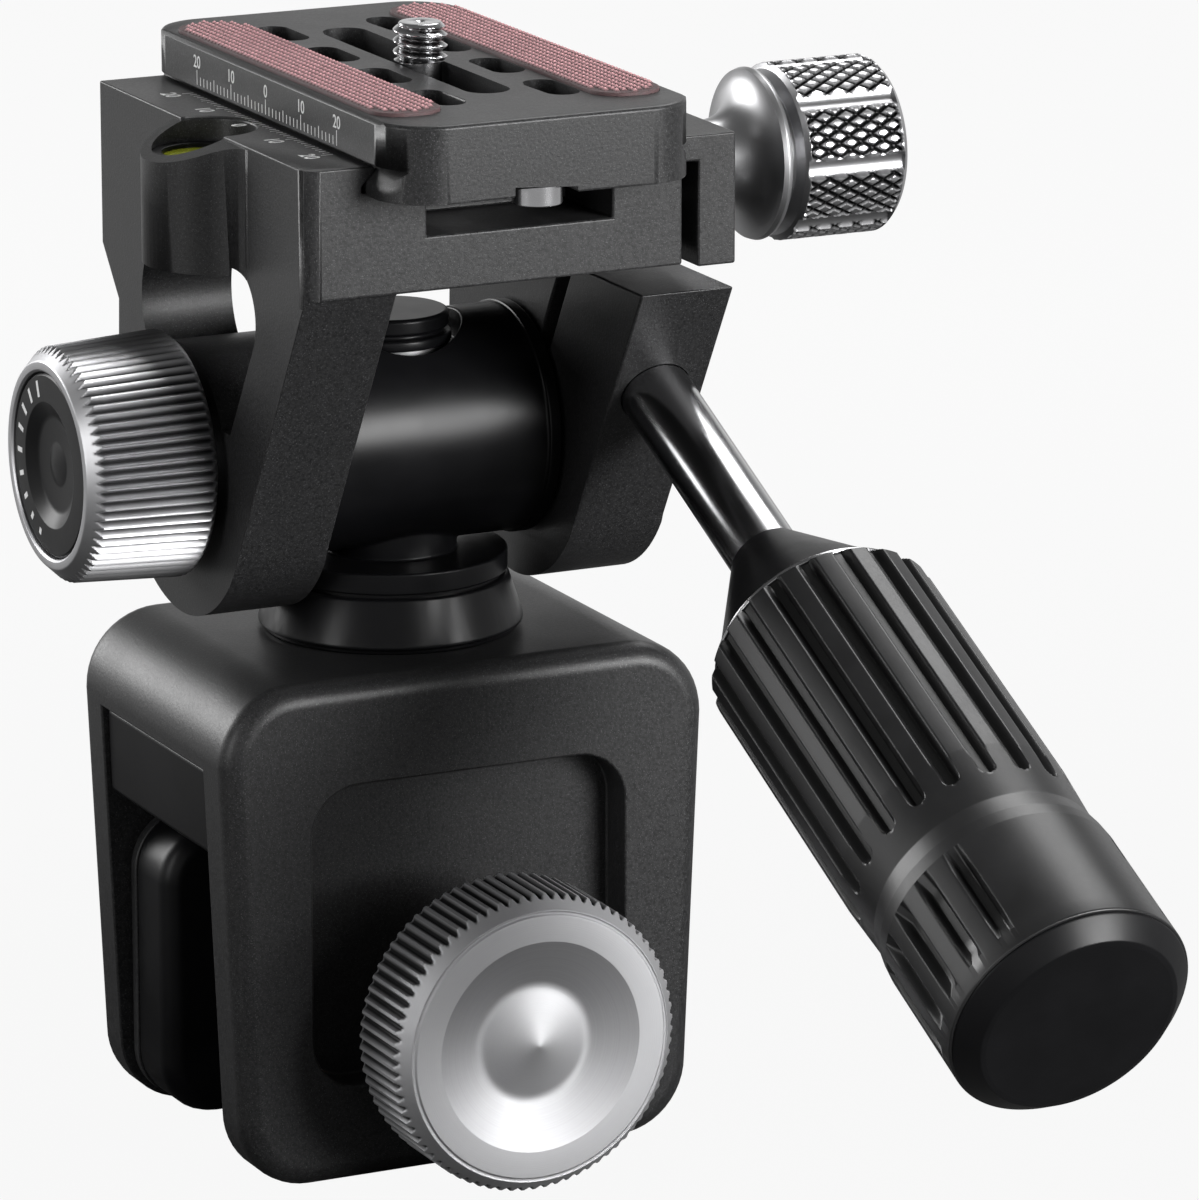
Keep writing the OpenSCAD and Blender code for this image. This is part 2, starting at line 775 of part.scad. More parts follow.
// Pan head: drum with its axles and discs
module tilt_drum() {
    color(black)
        difference() {
            union() {
                rod_x(-drum_left, drum_right, drum_d, 0, tilt_z);
                rod_x(drum_right - drum_rim_w, drum_right, drum_rim_d, 0, tilt_z);
                rod_z(neck_bottom, tilt_z, neck_d);
                rod_z(neck_bottom, neck_bottom + flange_t, flange_d);
            }
            rod_z(neck_bottom - past, spot_z + past, pan_bush_d);
            rod_z(spot_z, tilt_z + drum_d, spot_d);
            rod_x(-drum_left - past, -drum_left + axle_hold, axle_d, 0, tilt_z);
            rod_x(drum_right - axle_hold, drum_right + past, axle_d, 0, tilt_z);
        }
}

module pan_bush() {
    color(bronze) ring_z(neck_bottom, spot_z, pan_bush_d, pan_bolt_d + 2 * running);
}

module left_axle() {
    shoulder = friction_back - 0.2;
    color(steel)
        at_tilt()
            union() {
                rod_x(shoulder, -drum_left + axle_hold, axle_d);
                rod_x(stem_end, shoulder, stem_d);
            }
}

module right_axle() {
    color(steel) rod_x(drum_right - axle_hold, arm_right_out - axle_cap_t - 0.6, axle_d, 0, tilt_z);
}

module left_friction_disc() {
    color(rubber)
        at_tilt()
            ring_x(arm_inner + face_gap, -drum_left, disc_d, axle_d);
}

module right_friction_disc() {
    color(rubber)
        at_tilt()
            ring_x(drum_right, arm_right_x - face_gap, disc_d, axle_d);
}

module knob_washer() {
    color(steel)
        at_tilt()
            ring_x(friction_back + face_gap, -deck_left - face_gap, axle_d + 8, axle_d);
}

module friction_knob() {
    front_r = friction_front_d / 2;
    back_r = friction_back_d / 2;
    seat = friction_front + dial_t;
    color(satin)
        difference() {
            turned_x([[0, friction_back], [back_r - 0.8, friction_back], [back_r, friction_back - 0.8],
                [front_r, friction_front + 1.8], [front_r - 1.7, friction_front],
                [0, friction_front]], 0, tilt_z);
            rod_x(stem_end - 0.3, friction_back + past, stem_d + 2 * running, 0, tilt_z);
            rod_x(friction_back - 0.5, friction_back + past, axle_d + 2 * running, 0, tilt_z);
            rod_x(friction_front - past, seat, dial_d, 0, tilt_z);
        }
}

module friction_dial() {
    face = friction_front + 0.3;
    seat = friction_front + dial_t;
    dish = dial_dish_d / 2;
    color(rubber)
        turned_x([[0, seat], [dial_d / 2, seat], [dial_d / 2, face], [dish, face],
            [dish - 1.6, face + dial_dish * 0.8], [3, face + dial_dish],
            [0, face + dial_dish * 0.5]], 0, tilt_z);
}

// Yoke: side outline of an arm about the tilt axis, up to a height
front_dir = [-cos(arm_slope), -sin(arm_slope)];
function front_y(dist, z) = -(dist + z * sin(arm_slope)) / cos(arm_slope);

module arm_outline(top) {
    translate(arm_end) circle(r = arm_r);
    polygon([arm_end + arm_r * front_dir, [front_y(arm_plane, top), top], [arm_rear - arm_waist, top],
        [arm_rear, arm_end[1]], arm_end]);
}

// Widening of the left arm's rear edge up to the deck
module arm_shoulder() {
    polygon([[0, deck_rise + past], [deck_y1, deck_rise + past], [deck_y1, deck_rise - 4.5],
        [arm_rear - arm_waist, deck_rise - 11], [0, deck_rise - 11]]);
}

module window_outline() {
    depth = arm_plane - arm_frame;
    top = deck_rise + 0.6;
    low = 5;
    rear = arm_rear - arm_strut - window_rear_r;
    corner = [front_y(depth - window_r, top - window_r), top - window_r];
    difference() {
        union() {
            polygon([[front_y(depth, low), low], corner + window_r * front_dir, corner,
                [corner[0], top], [rear, top], [rear, low]]);
            translate(corner) circle(r = window_r);
            translate([rear, top - window_rear_r]) circle(r = window_rear_r);
        }
        circle(r = hub_r);
    }
}

// Right arm: split by a kerf that the handle draws together on the axle
module right_arm() {
    top = deck_rise - arm_top_gap;
    span_x(arm_right_x, arm_right_out)
        translate([0, tilt_z])
            difference() {
                arm_outline(top);
                kerf_outline();
            }
    span_x(arm_right_x, deck_right)
        translate([0, tilt_z])
            difference() {
                polygon([[0, hub_r], front_dir * kerf_shift + [0, hub_r],
                    [front_y(kerf_shift, deck_rise), deck_rise], [arm_rear - arm_waist, deck_rise],
                    [arm_rear - arm_waist, hub_r]]);
                kerf_outline();
            }
}

module kerf_outline() {
    rotate(90 + arm_slope)
        translate([2, kerf_shift - kerf_w / 2]) square([2 * deck_rise, kerf_w]);
}

// Rail and jaw share this hook over the dovetail, on the right side of the plate
module hook_outline(outer, low) {
    polygon([[outer, low], [outer, rail_z], [lip_half, rail_z], [lip_half, lip_z],
        [bay_half, bay_z], [bay_half, low]]);
}

// Plan of the level boss with its blend into the left face
module boss_plan() {
    reach = level_boss_r + level_blend_r;
    side = -deck_left - level_blend_r;
    blend_y = level_y - sqrt(reach * reach - pow(side - level_x, 2));
    translate([level_x, level_y]) circle(r = level_boss_r);
    difference() {
        polygon([[-deck_left + 0.5, blend_y], [side, blend_y], [level_x, level_y]]);
        translate([side, blend_y]) circle(r = level_blend_r);
    }
}

module level_boss() {
    cut = 2 * deck_left;
    difference() {
        span_z(rail_z - level_boss_h, rail_z) boss_plan();
        translate([-deck_left + 1, level_y, rail_z])
            rotate([0, -level_slope, 0])
                translate([-cut, -cut, 0]) cube([cut, 2 * cut, cut]);
        span_z(rail_z - level_boss_h - past, rail_z + past)
            translate([-bay_half, level_y - cut]) square([cut, 2 * cut]);
    }
}

// Cutter for a rounded upright corner at the front left of the deck
module corner_cut(r) {
    span_z(deck_z - past, rail_z + past)
        translate([-deck_left, deck_y0])
            difference() {
                translate([-past, -past]) square(r + past);
                translate([r, r]) circle(r = r);
            }
}

module platform() {
    bore = jaw_screw_d + 2 * running;
    guide_bore = guide_d + 2 * running;
    color(black)
        difference() {
            union() {
                translate([-deck_left, deck_y0, deck_z])
                    cube([deck_left + deck_right, deck_l, deck_t]);
                span_y(deck_y0, deck_y1)
                    mirror([1, 0]) hook_outline(deck_left, bed_z - past);
                span_x(-deck_left, arm_inner)
                    translate([0, tilt_z]) {
                        arm_outline(deck_rise);
                        arm_shoulder();
                    }
                right_arm();
                level_boss();
            }
            corner_cut(deck_corner_r);
            span_x(-deck_left - past, arm_inner + past)
                translate([0, tilt_z]) window_outline();
            rod_x(-deck_left - past, arm_inner + past, arm_bush_d, 0, tilt_z);
            rod_x(arm_right_x - past, arm_right_out + past, arm_bush_d, 0, tilt_z);
            on_handle() {
                rod_z(-rod_end_l - 0.5, past, rod_end_d + 2 * running);
                rod_z(-rod_sink, 5, rod_d + 4 * running);
            }
            for (y = [deck_y0 - past, deck_y1 - pocket_l])
                translate([-pocket_w / 2, y, bed_z - pocket_depth])
                    cube([pocket_w, pocket_l + past, pocket_depth + past]);
            rod_x(jaw_screw_end - 6, deck_right + past, bore, jaw_y, jaw_z);
            for (s = [-1, 1])
                rod_x(deck_right - guide_hold - 1.4, deck_right + past, guide_bore,
                    jaw_y + s * guide_spacing / 2, jaw_z);
            translate([vial_x, vial_y, 0])
                turned_z([[0, rail_z - level_sink - level_t], [level_d / 2, rail_z - level_sink - level_t],
                    [level_d / 2, rail_z - level_chamfer], [level_d / 2 + level_chamfer + past, rail_z + past],
                    [0, rail_z + past]]);
        }
}

module left_arm_bush() {
    color(bronze)
        at_tilt()
            ring_x(-deck_left, arm_inner, arm_bush_d, axle_d + 2 * running);
}

module right_arm_bush() {
    color(bronze)
        at_tilt()
            ring_x(arm_right_x, arm_right_out - axle_cap_t - 0.3, arm_bush_d, axle_d + 2 * running);
}

module axle_cap() {
    color(black)
        turned_x([[0, arm_right_out - axle_cap_t], [arm_bush_d / 2, arm_right_out - axle_cap_t],
            [arm_bush_d / 2, arm_right_out - 0.4], [arm_bush_d / 2 - 0.4, arm_right_out],
            [0, arm_right_out]], 0, tilt_z);
}

module level_vial() {
    top = rail_z - level_sink;
    color(green)
        rod_z(top - level_t, top - 0.6, level_d - 0.1, vial_x, vial_y);
}

module level_ring() {
    top = rail_z - level_sink;
    color(rubber)
        translate([vial_x, vial_y, 0])
            ring_z(top - 0.6, top, level_d - 0.1, level_d - 2.4);
}

// Handle
module handle_rod() {
    color(steel)
        on_handle()
            union() {
                rod_z(-rod_end_l, 0, rod_end_d);
                rod_z(-rod_sink + 0.4, grip_z + rod_hold, rod_d);
            }
}

module grip_collar() {
    color(rubber)
        on_handle()
            difference() {
                turned_z([[0, collar_z], [collar_d / 2 - 0.2, collar_z], [collar_d / 2, collar_z + 0.3],
                    [grip_d / 2 - 1.4, grip_z - 0.9], [grip_d / 2 - 1.2, grip_z], [0, grip_z]]);
                rod_z(collar_z - past, grip_z + past, rod_d);
            }
}

// Groove along the grip with round ends
module groove(r, z0, z1) {
    translate([r + groove_w / 2 - groove_depth, 0, 0]) {
        rod_z(z0, z1, groove_w);
        for (z = [z0, z1])
            translate([0, 0, z]) sphere(d = groove_w);
    }
}

module grip() {
    end_top = grip_z + grip_l;
    short_z = grip_end_z + 3 + groove_w / 2;
    first = patch_angle - (groove_skip + 1) / 2 * groove_step;
    color(rubber)
        on_handle()
            difference() {
                turned_z([[0, grip_z], [grip_d / 2 - 0.5, grip_z], [grip_d / 2, grip_z + 0.5],
                    [grip_d / 2, grip_end_z - 10], [waist_d / 2, grip_end_z - 2],
                    [grip_end_d / 2 - 0.4, grip_end_z + 0.4], [grip_end_d / 2, grip_end_z + 2],
                    [grip_end_d / 2, end_top], [0, end_top]]);
                rod_z(grip_z - past, grip_z + rod_hold + 0.5, rod_d);
                for (i = [0 : groove_count - 1])
                    rotate(first - i * groove_step)
                        groove(grip_d / 2, grip_z - groove_w, grip_z + groove_l);
                for (i = [0 : groove_count - groove_skip - 1])
                    rotate(first - i * groove_step)
                        groove(grip_end_d / 2, short_z, end_top - 2.4 - groove_w / 2);
            }
}

module grip_end_cap() {
    end_top = grip_z + grip_l;
    color(rubber)
        on_handle()
            turned_z([[0, end_top], [grip_end_d / 2 - 0.1, end_top], [end_cap_d / 2, cap_face_z - 0.2],
                [end_cap_d / 2 - 0.3, cap_face_z], [0, cap_face_z]]);
}

// Jaw
module jaw() {
    color(black)
        difference() {
            span_y(deck_y0, deck_y1)
                union() {
                    hook_outline(jaw_out, jaw_step_z);
                    translate([jaw_in, deck_z - jaw_drop])
                        square([jaw_t, rail_z - deck_z + jaw_drop - past]);
                }
            rod_x(jaw_in - past, jaw_out + past, jaw_screw_d + 2 * running, jaw_y, jaw_z);
            for (s = [-1, 1])
                rod_x(jaw_in - past, guide_end, guide_d, jaw_y + s * guide_spacing / 2, jaw_z);
        }
}

module jaw_guide_pins() {
    color(steel)
        for (s = [-1, 1])
            rod_x(deck_right - guide_hold, guide_end, guide_d, jaw_y + s * guide_spacing / 2, jaw_z);
}

module jaw_screw() {
    color(steel) rod_x(jaw_screw_end, jaw_lip_x, jaw_screw_d, jaw_y, jaw_z);
}

module jaw_knob() {
    neck = jaw_neck_d / 2;
    lip = jaw_lip_d / 2;
    head = jaw_head_d / 2;
    flare = lip - neck;
    flute_z = head + jaw_flute_r - jaw_flute_depth;
    color(steel)
        difference() {
            turned_x(concat([[0, jaw_knob_x], [neck, jaw_knob_x], [neck, jaw_lip_x - flare - 1.2]],
                arc(lip, jaw_lip_x - flare - 1.2, flare, 180, 90),
                [[lip + 0.2, jaw_lip_x - 0.6], [lip, jaw_lip_x], [lip - 0.8, jaw_lip_x + 0.2],
                [lip - 0.8, jaw_head_x - 0.2], [head - 0.4, jaw_head_x], [head, jaw_head_x + 0.5],
                [head, jaw_end_x - 0.8], [head - 0.8, jaw_end_x], [0, jaw_end_x]]), jaw_y, jaw_z);
            rod_x(jaw_knob_x - past, jaw_lip_x, jaw_screw_d, jaw_y, jaw_z);
            translate([0, jaw_y, jaw_z])
                for (i = [0 : jaw_flutes - 1])
                    rotate([i * 360 / jaw_flutes + 2, 0, 0])
                        rod_x(jaw_head_x + 0.4, jaw_end_x - 0.9, 2 * jaw_flute_r, 0, flute_z);
        }
}

// Quick plate
module plate_outline() {
    half = plate_w / 2;
    polygon([[-half, plate_z], [half, plate_z], [half, plate_z + dovetail_land], [neck_half, notch_z],
        [half, notch_z], [half, plate_top - 0.5], [half - 0.5, plate_top], [-half + 0.5, plate_top],
        [-half, plate_top - 0.5], [-half, notch_z], [-neck_half, notch_z],
        [-half, plate_z + dovetail_land]]);
}

module strip_plan(grow = 0) {
    for (s = [-1, 1])
        translate([s * strip_row, plate_y + slot_shift])
            rounded_rect(strip_w + 2 * grow, strip_l + 2 * grow, strip_w / 2 - 0.6);
}

module safety_places() {
    for (s = [-1, 1])
        translate([0, plate_y + s * (plate_l / 2 - safety_inset), 0]) children();
}

module quick_plate() {
    color(black)
        difference() {
            intersection() {
                span_y(plate_y - plate_l / 2, plate_y + plate_l / 2) plate_outline();
                span_z(plate_z - past, plate_top + past)
                    translate([0, plate_y]) rounded_rect(plate_w, plate_l, plate_r);
            }
            for (sx = [-1, 1], i = [-1.5 : 1.5])
                span_z(plate_z - past, plate_top + past)
                    translate([sx * slot_row, slot_y + i * slot_pitch]) obround(slot_w, slot_l);
            span_z(plate_z - past, plate_top + past)
                translate([0, slot_y]) obround(mid_slot_w, mid_slot_l);
            span_z(plate_z - past, counter_z)
                translate([0, slot_y]) obround(counter_w, mid_slot_l + counter_w - mid_slot_w);
            span_z(plate_top - strip_t + strip_proud, plate_top + past) strip_plan();
            translate([-plate_groove_left, plate_y - plate_l, plate_z - past])
                cube([plate_groove_left + safety_d / 2 + 0.2, 2 * plate_l, past + plate_groove]);
            safety_places()
                rod_z(plate_z - past, safety_top, safety_thread_d);
        }
}

module grip_strips() {
    color(brick)
        span_z(plate_top - strip_t + strip_proud, plate_top + strip_proud) strip_plan(-0.05);
}

module safety_screws() {
    head_z = plate_z + plate_groove - safety_h;
    color(steel)
        safety_places()
            difference() {
                union() {
                    rod_z(head_z, head_z + safety_h, safety_d);
                    rod_z(head_z, safety_top, safety_thread_d);
                }
                rod_z(head_z - past, head_z + safety_h / 2 - 0.3, safety_hex, $fn = 6);
            }
}

// Camera screw, held captive in the long slot
module captive_washer() {
    color(steel)
        translate([0, camera_y, 0])
            difference() {
                span_z(counter_z - face_gap - captive_t, counter_z - face_gap)
                    rounded_rect(counter_w - 0.4, counter_w + 2, 1.5);
                rod_z(plate_z, plate_top, camera_neck_d + 2 * running);
            }
}

module camera_screw() {
    head_top = counter_z - 2 * face_gap - captive_t;
    shoulder = plate_top + 0.3;
    top = plate_top + camera_l;
    r = camera_d / 2;
    color(steel)
        translate([0, camera_y, 0])
            difference() {
                turned_z([[0, head_top - camera_head_t], [camera_head_d / 2, head_top - camera_head_t],
                    [camera_head_d / 2, head_top], [camera_neck_d / 2, head_top],
                    [camera_neck_d / 2, shoulder], [r, shoulder], [r, top - 0.9], [r - 0.8, top],
                    [0, top]]);
                rod_z(plate_z - past, head_top - 0.4, camera_hex, $fn = 6);
            }
}

clamp_body();
glass_edge_pad();
rear_pad_plate();
rear_jaw_pad();
screw_bush();
pan_base();
pan_bolt();
pan_thrust_washer();
pan_cap_washer();
pan_cap();
pressure_plate();
pressure_pad();
clamp_screw();
clamp_knob();
tilt_drum();
pan_bush();
left_axle();
right_axle();
left_friction_disc();
right_friction_disc();
knob_washer();
friction_knob();
friction_dial();
platform();
left_arm_bush();
right_arm_bush();
axle_cap();
level_vial();
level_ring();
handle_rod();
grip_collar();
grip();
grip_end_cap();
jaw();
jaw_guide_pins();
jaw_screw();
jaw_knob();
quick_plate();
grip_strips();
safety_screws();
captive_washer();
camera_screw();
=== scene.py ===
"""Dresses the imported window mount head: castings, knurled knobs, ribbed grip, scales, level and stage."""

import json
import math
from functools import partialmethod

import bmesh
import bpy
from bpy.props import FloatProperty, FloatVectorProperty, IntProperty, PointerProperty
from mathutils import Matrix, Vector


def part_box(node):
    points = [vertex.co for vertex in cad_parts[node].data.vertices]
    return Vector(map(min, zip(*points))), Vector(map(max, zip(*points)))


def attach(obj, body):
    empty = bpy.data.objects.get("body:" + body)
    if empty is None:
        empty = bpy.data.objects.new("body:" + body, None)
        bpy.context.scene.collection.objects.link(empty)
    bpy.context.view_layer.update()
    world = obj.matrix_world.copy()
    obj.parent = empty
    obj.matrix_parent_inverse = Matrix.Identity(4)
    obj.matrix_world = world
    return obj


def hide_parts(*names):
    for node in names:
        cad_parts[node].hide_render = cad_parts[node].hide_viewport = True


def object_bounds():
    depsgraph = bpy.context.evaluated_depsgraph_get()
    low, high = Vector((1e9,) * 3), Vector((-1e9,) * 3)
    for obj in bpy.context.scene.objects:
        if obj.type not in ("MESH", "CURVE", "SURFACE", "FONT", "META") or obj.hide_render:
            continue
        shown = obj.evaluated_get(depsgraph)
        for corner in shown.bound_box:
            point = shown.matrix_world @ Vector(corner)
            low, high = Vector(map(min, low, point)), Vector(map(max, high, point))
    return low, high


bl_info = {
    "name": "Window mount head",
    "version": (1, 0, 0),
    "blender": (4, 5, 0),
    "location": "View3D > Sidebar > Mount",
    "description": "Builds the visible pieces of a window clamp with a pan and tilt head",
    "category": "Add Mesh",
}

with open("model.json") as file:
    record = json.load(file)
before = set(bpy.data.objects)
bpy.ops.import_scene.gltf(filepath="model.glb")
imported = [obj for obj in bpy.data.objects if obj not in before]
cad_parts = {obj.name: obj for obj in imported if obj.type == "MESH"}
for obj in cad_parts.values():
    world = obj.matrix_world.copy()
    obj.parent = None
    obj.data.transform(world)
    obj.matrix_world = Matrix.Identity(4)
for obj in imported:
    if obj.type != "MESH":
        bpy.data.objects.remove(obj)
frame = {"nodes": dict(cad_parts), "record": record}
CAD_BOX = [list(corner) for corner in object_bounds()]
JOINTS = {joint["name"]: joint for joint in frame["record"]["behaviour"]["joints"]}
BODY_OF = {node: body for body, nodes in frame["record"]["behaviour"]["bodies"].items() for node in nodes}

# Lengths are in metres. NOTHING is a length that counts as none, and WELD joins points of the CAD meshes.
MM = 0.001
NOTHING = 1e-7
WELD = 0.002 * MM

# Faces that meet below FLAT_ANGLE degrees become one, and edges above SHARP_ANGLE are shaded sharp.
FLAT_ANGLE = 0.4
SHARP_ANGLE = 38

# A bevel takes up to BEVEL_SHARE of the edges beside it, and a fillet up to FILLET_SHARE of each straight.
BEVEL_STEPS = 3
BEVEL_SHARE = 0.4
FILLET_SHARE = 0.49

# As cosines, an edge below SIDEWAYS leaves another sideways, and a face above LEVEL looks straight up.
SIDEWAYS = 0.8
LEVEL = 0.99

PLATE_CORNER = 6.6 * MM
HANDLE_LEAN = math.radians(115)
ALONG_X = (0.0, -math.pi / 2, 0.0)
ALONG_Y = (math.pi / 2, 0.0, 0.0)
ALONG_Z = (0.0, 0.0, 0.0)
ALONG_HANDLE = (-HANDLE_LEAN, 0.0, 0.0)
FLOAT = "NodeSocketFloat"
COUNT = "NodeSocketInt"
SHAPE = "NodeSocketGeometry"
PAINT = "NodeSocketMaterial"
VECTOR = "NodeSocketVector"


def colour_setting(name, description, default):
    return FloatVectorProperty(
        name=name, description=description, subtype="COLOR", size=3, min=0, max=1, default=default)


def length_setting(name, description, default, low, high):
    """A length that is given in millimetres."""
    return FloatProperty(
        name=name, description=description, unit="LENGTH", precision=5,
        default=default * MM, min=low * MM, max=high * MM)


def count_setting(name, description, default, low, high):
    return IntProperty(name=name, description=description, default=default, min=low, max=high)


class MountFinish(bpy.types.PropertyGroup):
    """Colours of the finishes."""

    black: colour_setting("Anodised black", "Bead-blasted black of the castings", (0.016, 0.016, 0.0165))
    drum: colour_setting("Drum black", "Smooth black of the tilt drum", (0.004, 0.004, 0.0045))
    rubber: colour_setting("Rubber black", "Moulded rubber of the grip and pads", (0.012, 0.012, 0.0125))
    plastic: colour_setting(
        "Plastic black", "Turned plastic of the cone and the dial", (0.004, 0.004, 0.0045))
    silver: colour_setting("Satin silver", "Turned aluminium of the two round knobs", (0.40, 0.40, 0.41))
    chrome: colour_setting("Polished steel", "Rod, jaw knob and camera screw", (0.52, 0.52, 0.53))
    steel: colour_setting("Plain steel", "Screws, axles and washers", (0.48, 0.48, 0.49))
    bronze: colour_setting("Bearing bronze", "Bushes", (0.50, 0.33, 0.15))
    brick: colour_setting("Brick rubber", "Strips on the quick plate", (0.265, 0.138, 0.145))
    fluid: colour_setting("Level fluid", "Fluid of the round level", (0.50, 0.55, 0.04))
    print_white: colour_setting("Scale white", "Filled marks and numbers", (0.80, 0.80, 0.80))


class MountDetail(bpy.types.PropertyGroup):
    """Sizes of the fine detail."""

    edge: length_setting("Edge break", "Bevel on machined edges", 0.3, 0.1, 1)
    clamp_teeth: count_setting("Clamp knob teeth", "Teeth round the clamp knob", 78, 40, 120)
    friction_teeth: count_setting("Friction knob teeth", "Teeth round the friction knob", 70, 40, 120)
    jaw_knurl: count_setting("Jaw knob knurl", "Cuts of each hand round the jaw knob", 40, 24, 80)
    groove_count: count_setting("Grip grooves", "Grooves round the grip", 20, 12, 32)
    groove_width: length_setting("Groove width", "Width of a groove in the grip", 2.6, 1, 4)
    tick_pitch: length_setting("Scale pitch", "Spacing of the scale's marks", 1, 0.5, 2)
    bump_pitch: length_setting("Strip pitch", "Spacing of the bumps on the rubber strips", 0.95, 0.4, 2)
    camera_pitch: length_setting("Camera thread pitch", "Pitch of the camera screw", 1.27, 0.8, 2)
    clamp_pitch: length_setting("Clamp thread pitch", "Pitch of the clamp screw", 1.25, 0.8, 2)


class Graph:
    """Short ways to add and join nodes in one tree."""

    def __init__(self, tree):
        self.tree = tree

    def add(self, kind, **settings):
        node = self.tree.nodes.new(kind)
        for key, value in settings.items():
            setattr(node, key, value)
        return node

    def feed(self, socket, value):
        if isinstance(value, bpy.types.NodeSocket):
            self.tree.links.new(value, socket)
        else:
            socket.default_value = value

    def fill(self, node, **sockets):
        for name, value in sockets.items():
            self.feed(node.inputs[name.replace("_", " ")], value)
        return node

    def math(self, operation, *values):
        node = self.add("ShaderNodeMath", operation=operation)
        for socket, value in zip(node.inputs, values):
            self.feed(socket, value)
        return node.outputs[0]

    plus = partialmethod(math, "ADD")
    minus = partialmethod(math, "SUBTRACT")
    times = partialmethod(math, "MULTIPLY")
    over = partialmethod(math, "DIVIDE")
    most = partialmethod(math, "MAXIMUM")
    below = partialmethod(math, "LESS_THAN")

    def hypot(self, x, y):
        return self.math("SQRT", self.plus(self.times(x, x), self.times(y, y)))

    def blend(self, a, b, share):
        """The sum of a share of the first value and the rest of the second."""
        return self.plus(self.times(a, share), self.times(b, 1.0 - share))

    def vector(self, operation, a, b):
        node = self.add("ShaderNodeVectorMath", operation=operation)
        self.feed(node.inputs[0], a)
        self.feed(node.inputs[1], b)
        return node.outputs["Vector"]

    def ramp(self, value, low, high, to_low=0.0, to_high=1.0, smooth=False):
        node = self.add("ShaderNodeMapRange", clamp=True)
        node.interpolation_type = "SMOOTHSTEP" if smooth else "LINEAR"
        self.fill(node, Value=value, From_Min=low, From_Max=high, To_Min=to_low, To_Max=to_high)
        return node.outputs["Result"]

    def split(self, vector):
        node = self.add("ShaderNodeSeparateXYZ")
        self.feed(node.inputs[0], vector)
        return node.outputs

    def join(self, *values):
        node = self.add("ShaderNodeCombineXYZ")
        for socket, value in zip(node.inputs, values):
            self.feed(socket, value)
        return node.outputs[0]

    def noise(self, vector, scale, detail=2.0, roughness=0.5):
        node = self.add("ShaderNodeTexNoise")
        self.fill(node, Vector=vector, Scale=scale, Detail=detail, Roughness=roughness)
        return node.outputs["Fac"]

    def mix(self, factor, a, b):
        node = self.add("ShaderNodeMix", data_type="RGBA")
        for socket, value in ((node.inputs[0], factor), (node.inputs[6], a), (node.inputs[7], b)):
            self.feed(socket, value)
        return node.outputs[2]

    def spread(self, points, shape, **sockets):
        """Puts a copy of one node's shape on each point of another's."""
        node = self.add("GeometryNodeInstanceOnPoints")
        self.fill(node, Points=points.outputs[0], Instance=shape.outputs[0], **sockets)
        return node.outputs[0]


def node_tree(name, kind, inputs, outputs):
    """Turns a function that fills a node group into one that returns it, filled at the first call."""
    def wrap(fill):
        def get():
            tree = bpy.data.node_groups.get(name)
            if tree:
                return tree
            tree = bpy.data.node_groups.new(name, kind)
            for label, socket_type, default in inputs:
                socket = tree.interface.new_socket(name=label, in_out="INPUT", socket_type=socket_type)
                if default is not None:
                    socket.default_value = default
            for label, socket_type in outputs:
                tree.interface.new_socket(name=label, in_out="OUTPUT", socket_type=socket_type)
            g = Graph(tree)
            fill(g, g.add("NodeGroupInput").outputs, g.add("NodeGroupOutput").inputs)
            return tree
        return get
    return wrap


def number_sockets(numbers):
    """Rows for inputs that are numbers, each of the type of its default."""
    return [(label.replace("_", " "), COUNT if isinstance(default, int) else FLOAT, default)
            for label, default in numbers.items()]


def shader_tree(name, outputs, **numbers):
    """The same for a shader group that takes a vector and numbers, and gives numbers."""
    inputs = [("Vector", VECTOR, None), *number_sockets(numbers)]
    return node_tree(name, "ShaderNodeTree", inputs, [(label, FLOAT) for label in outputs])


def shape_tree(name, **numbers):
    """The same for a geometry group, which ends in real geometry with its material."""
    def wrap(build):
        def fill(g, given, out):
            real = g.fill(g.add("GeometryNodeRealizeInstances"), Geometry=build(g, given))
            paint = g.add("GeometryNodeSetMaterial")
            g.fill(paint, Geometry=real.outputs[0], Material=given["Material"])
            g.feed(out["Geometry"], paint.outputs[0])
        inputs = [("Geometry", SHAPE, None), *number_sockets(numbers), ("Material", PAINT, None)]
        return node_tree(name, "GeometryNodeTree", inputs, [("Geometry", SHAPE)])(fill)
    return wrap


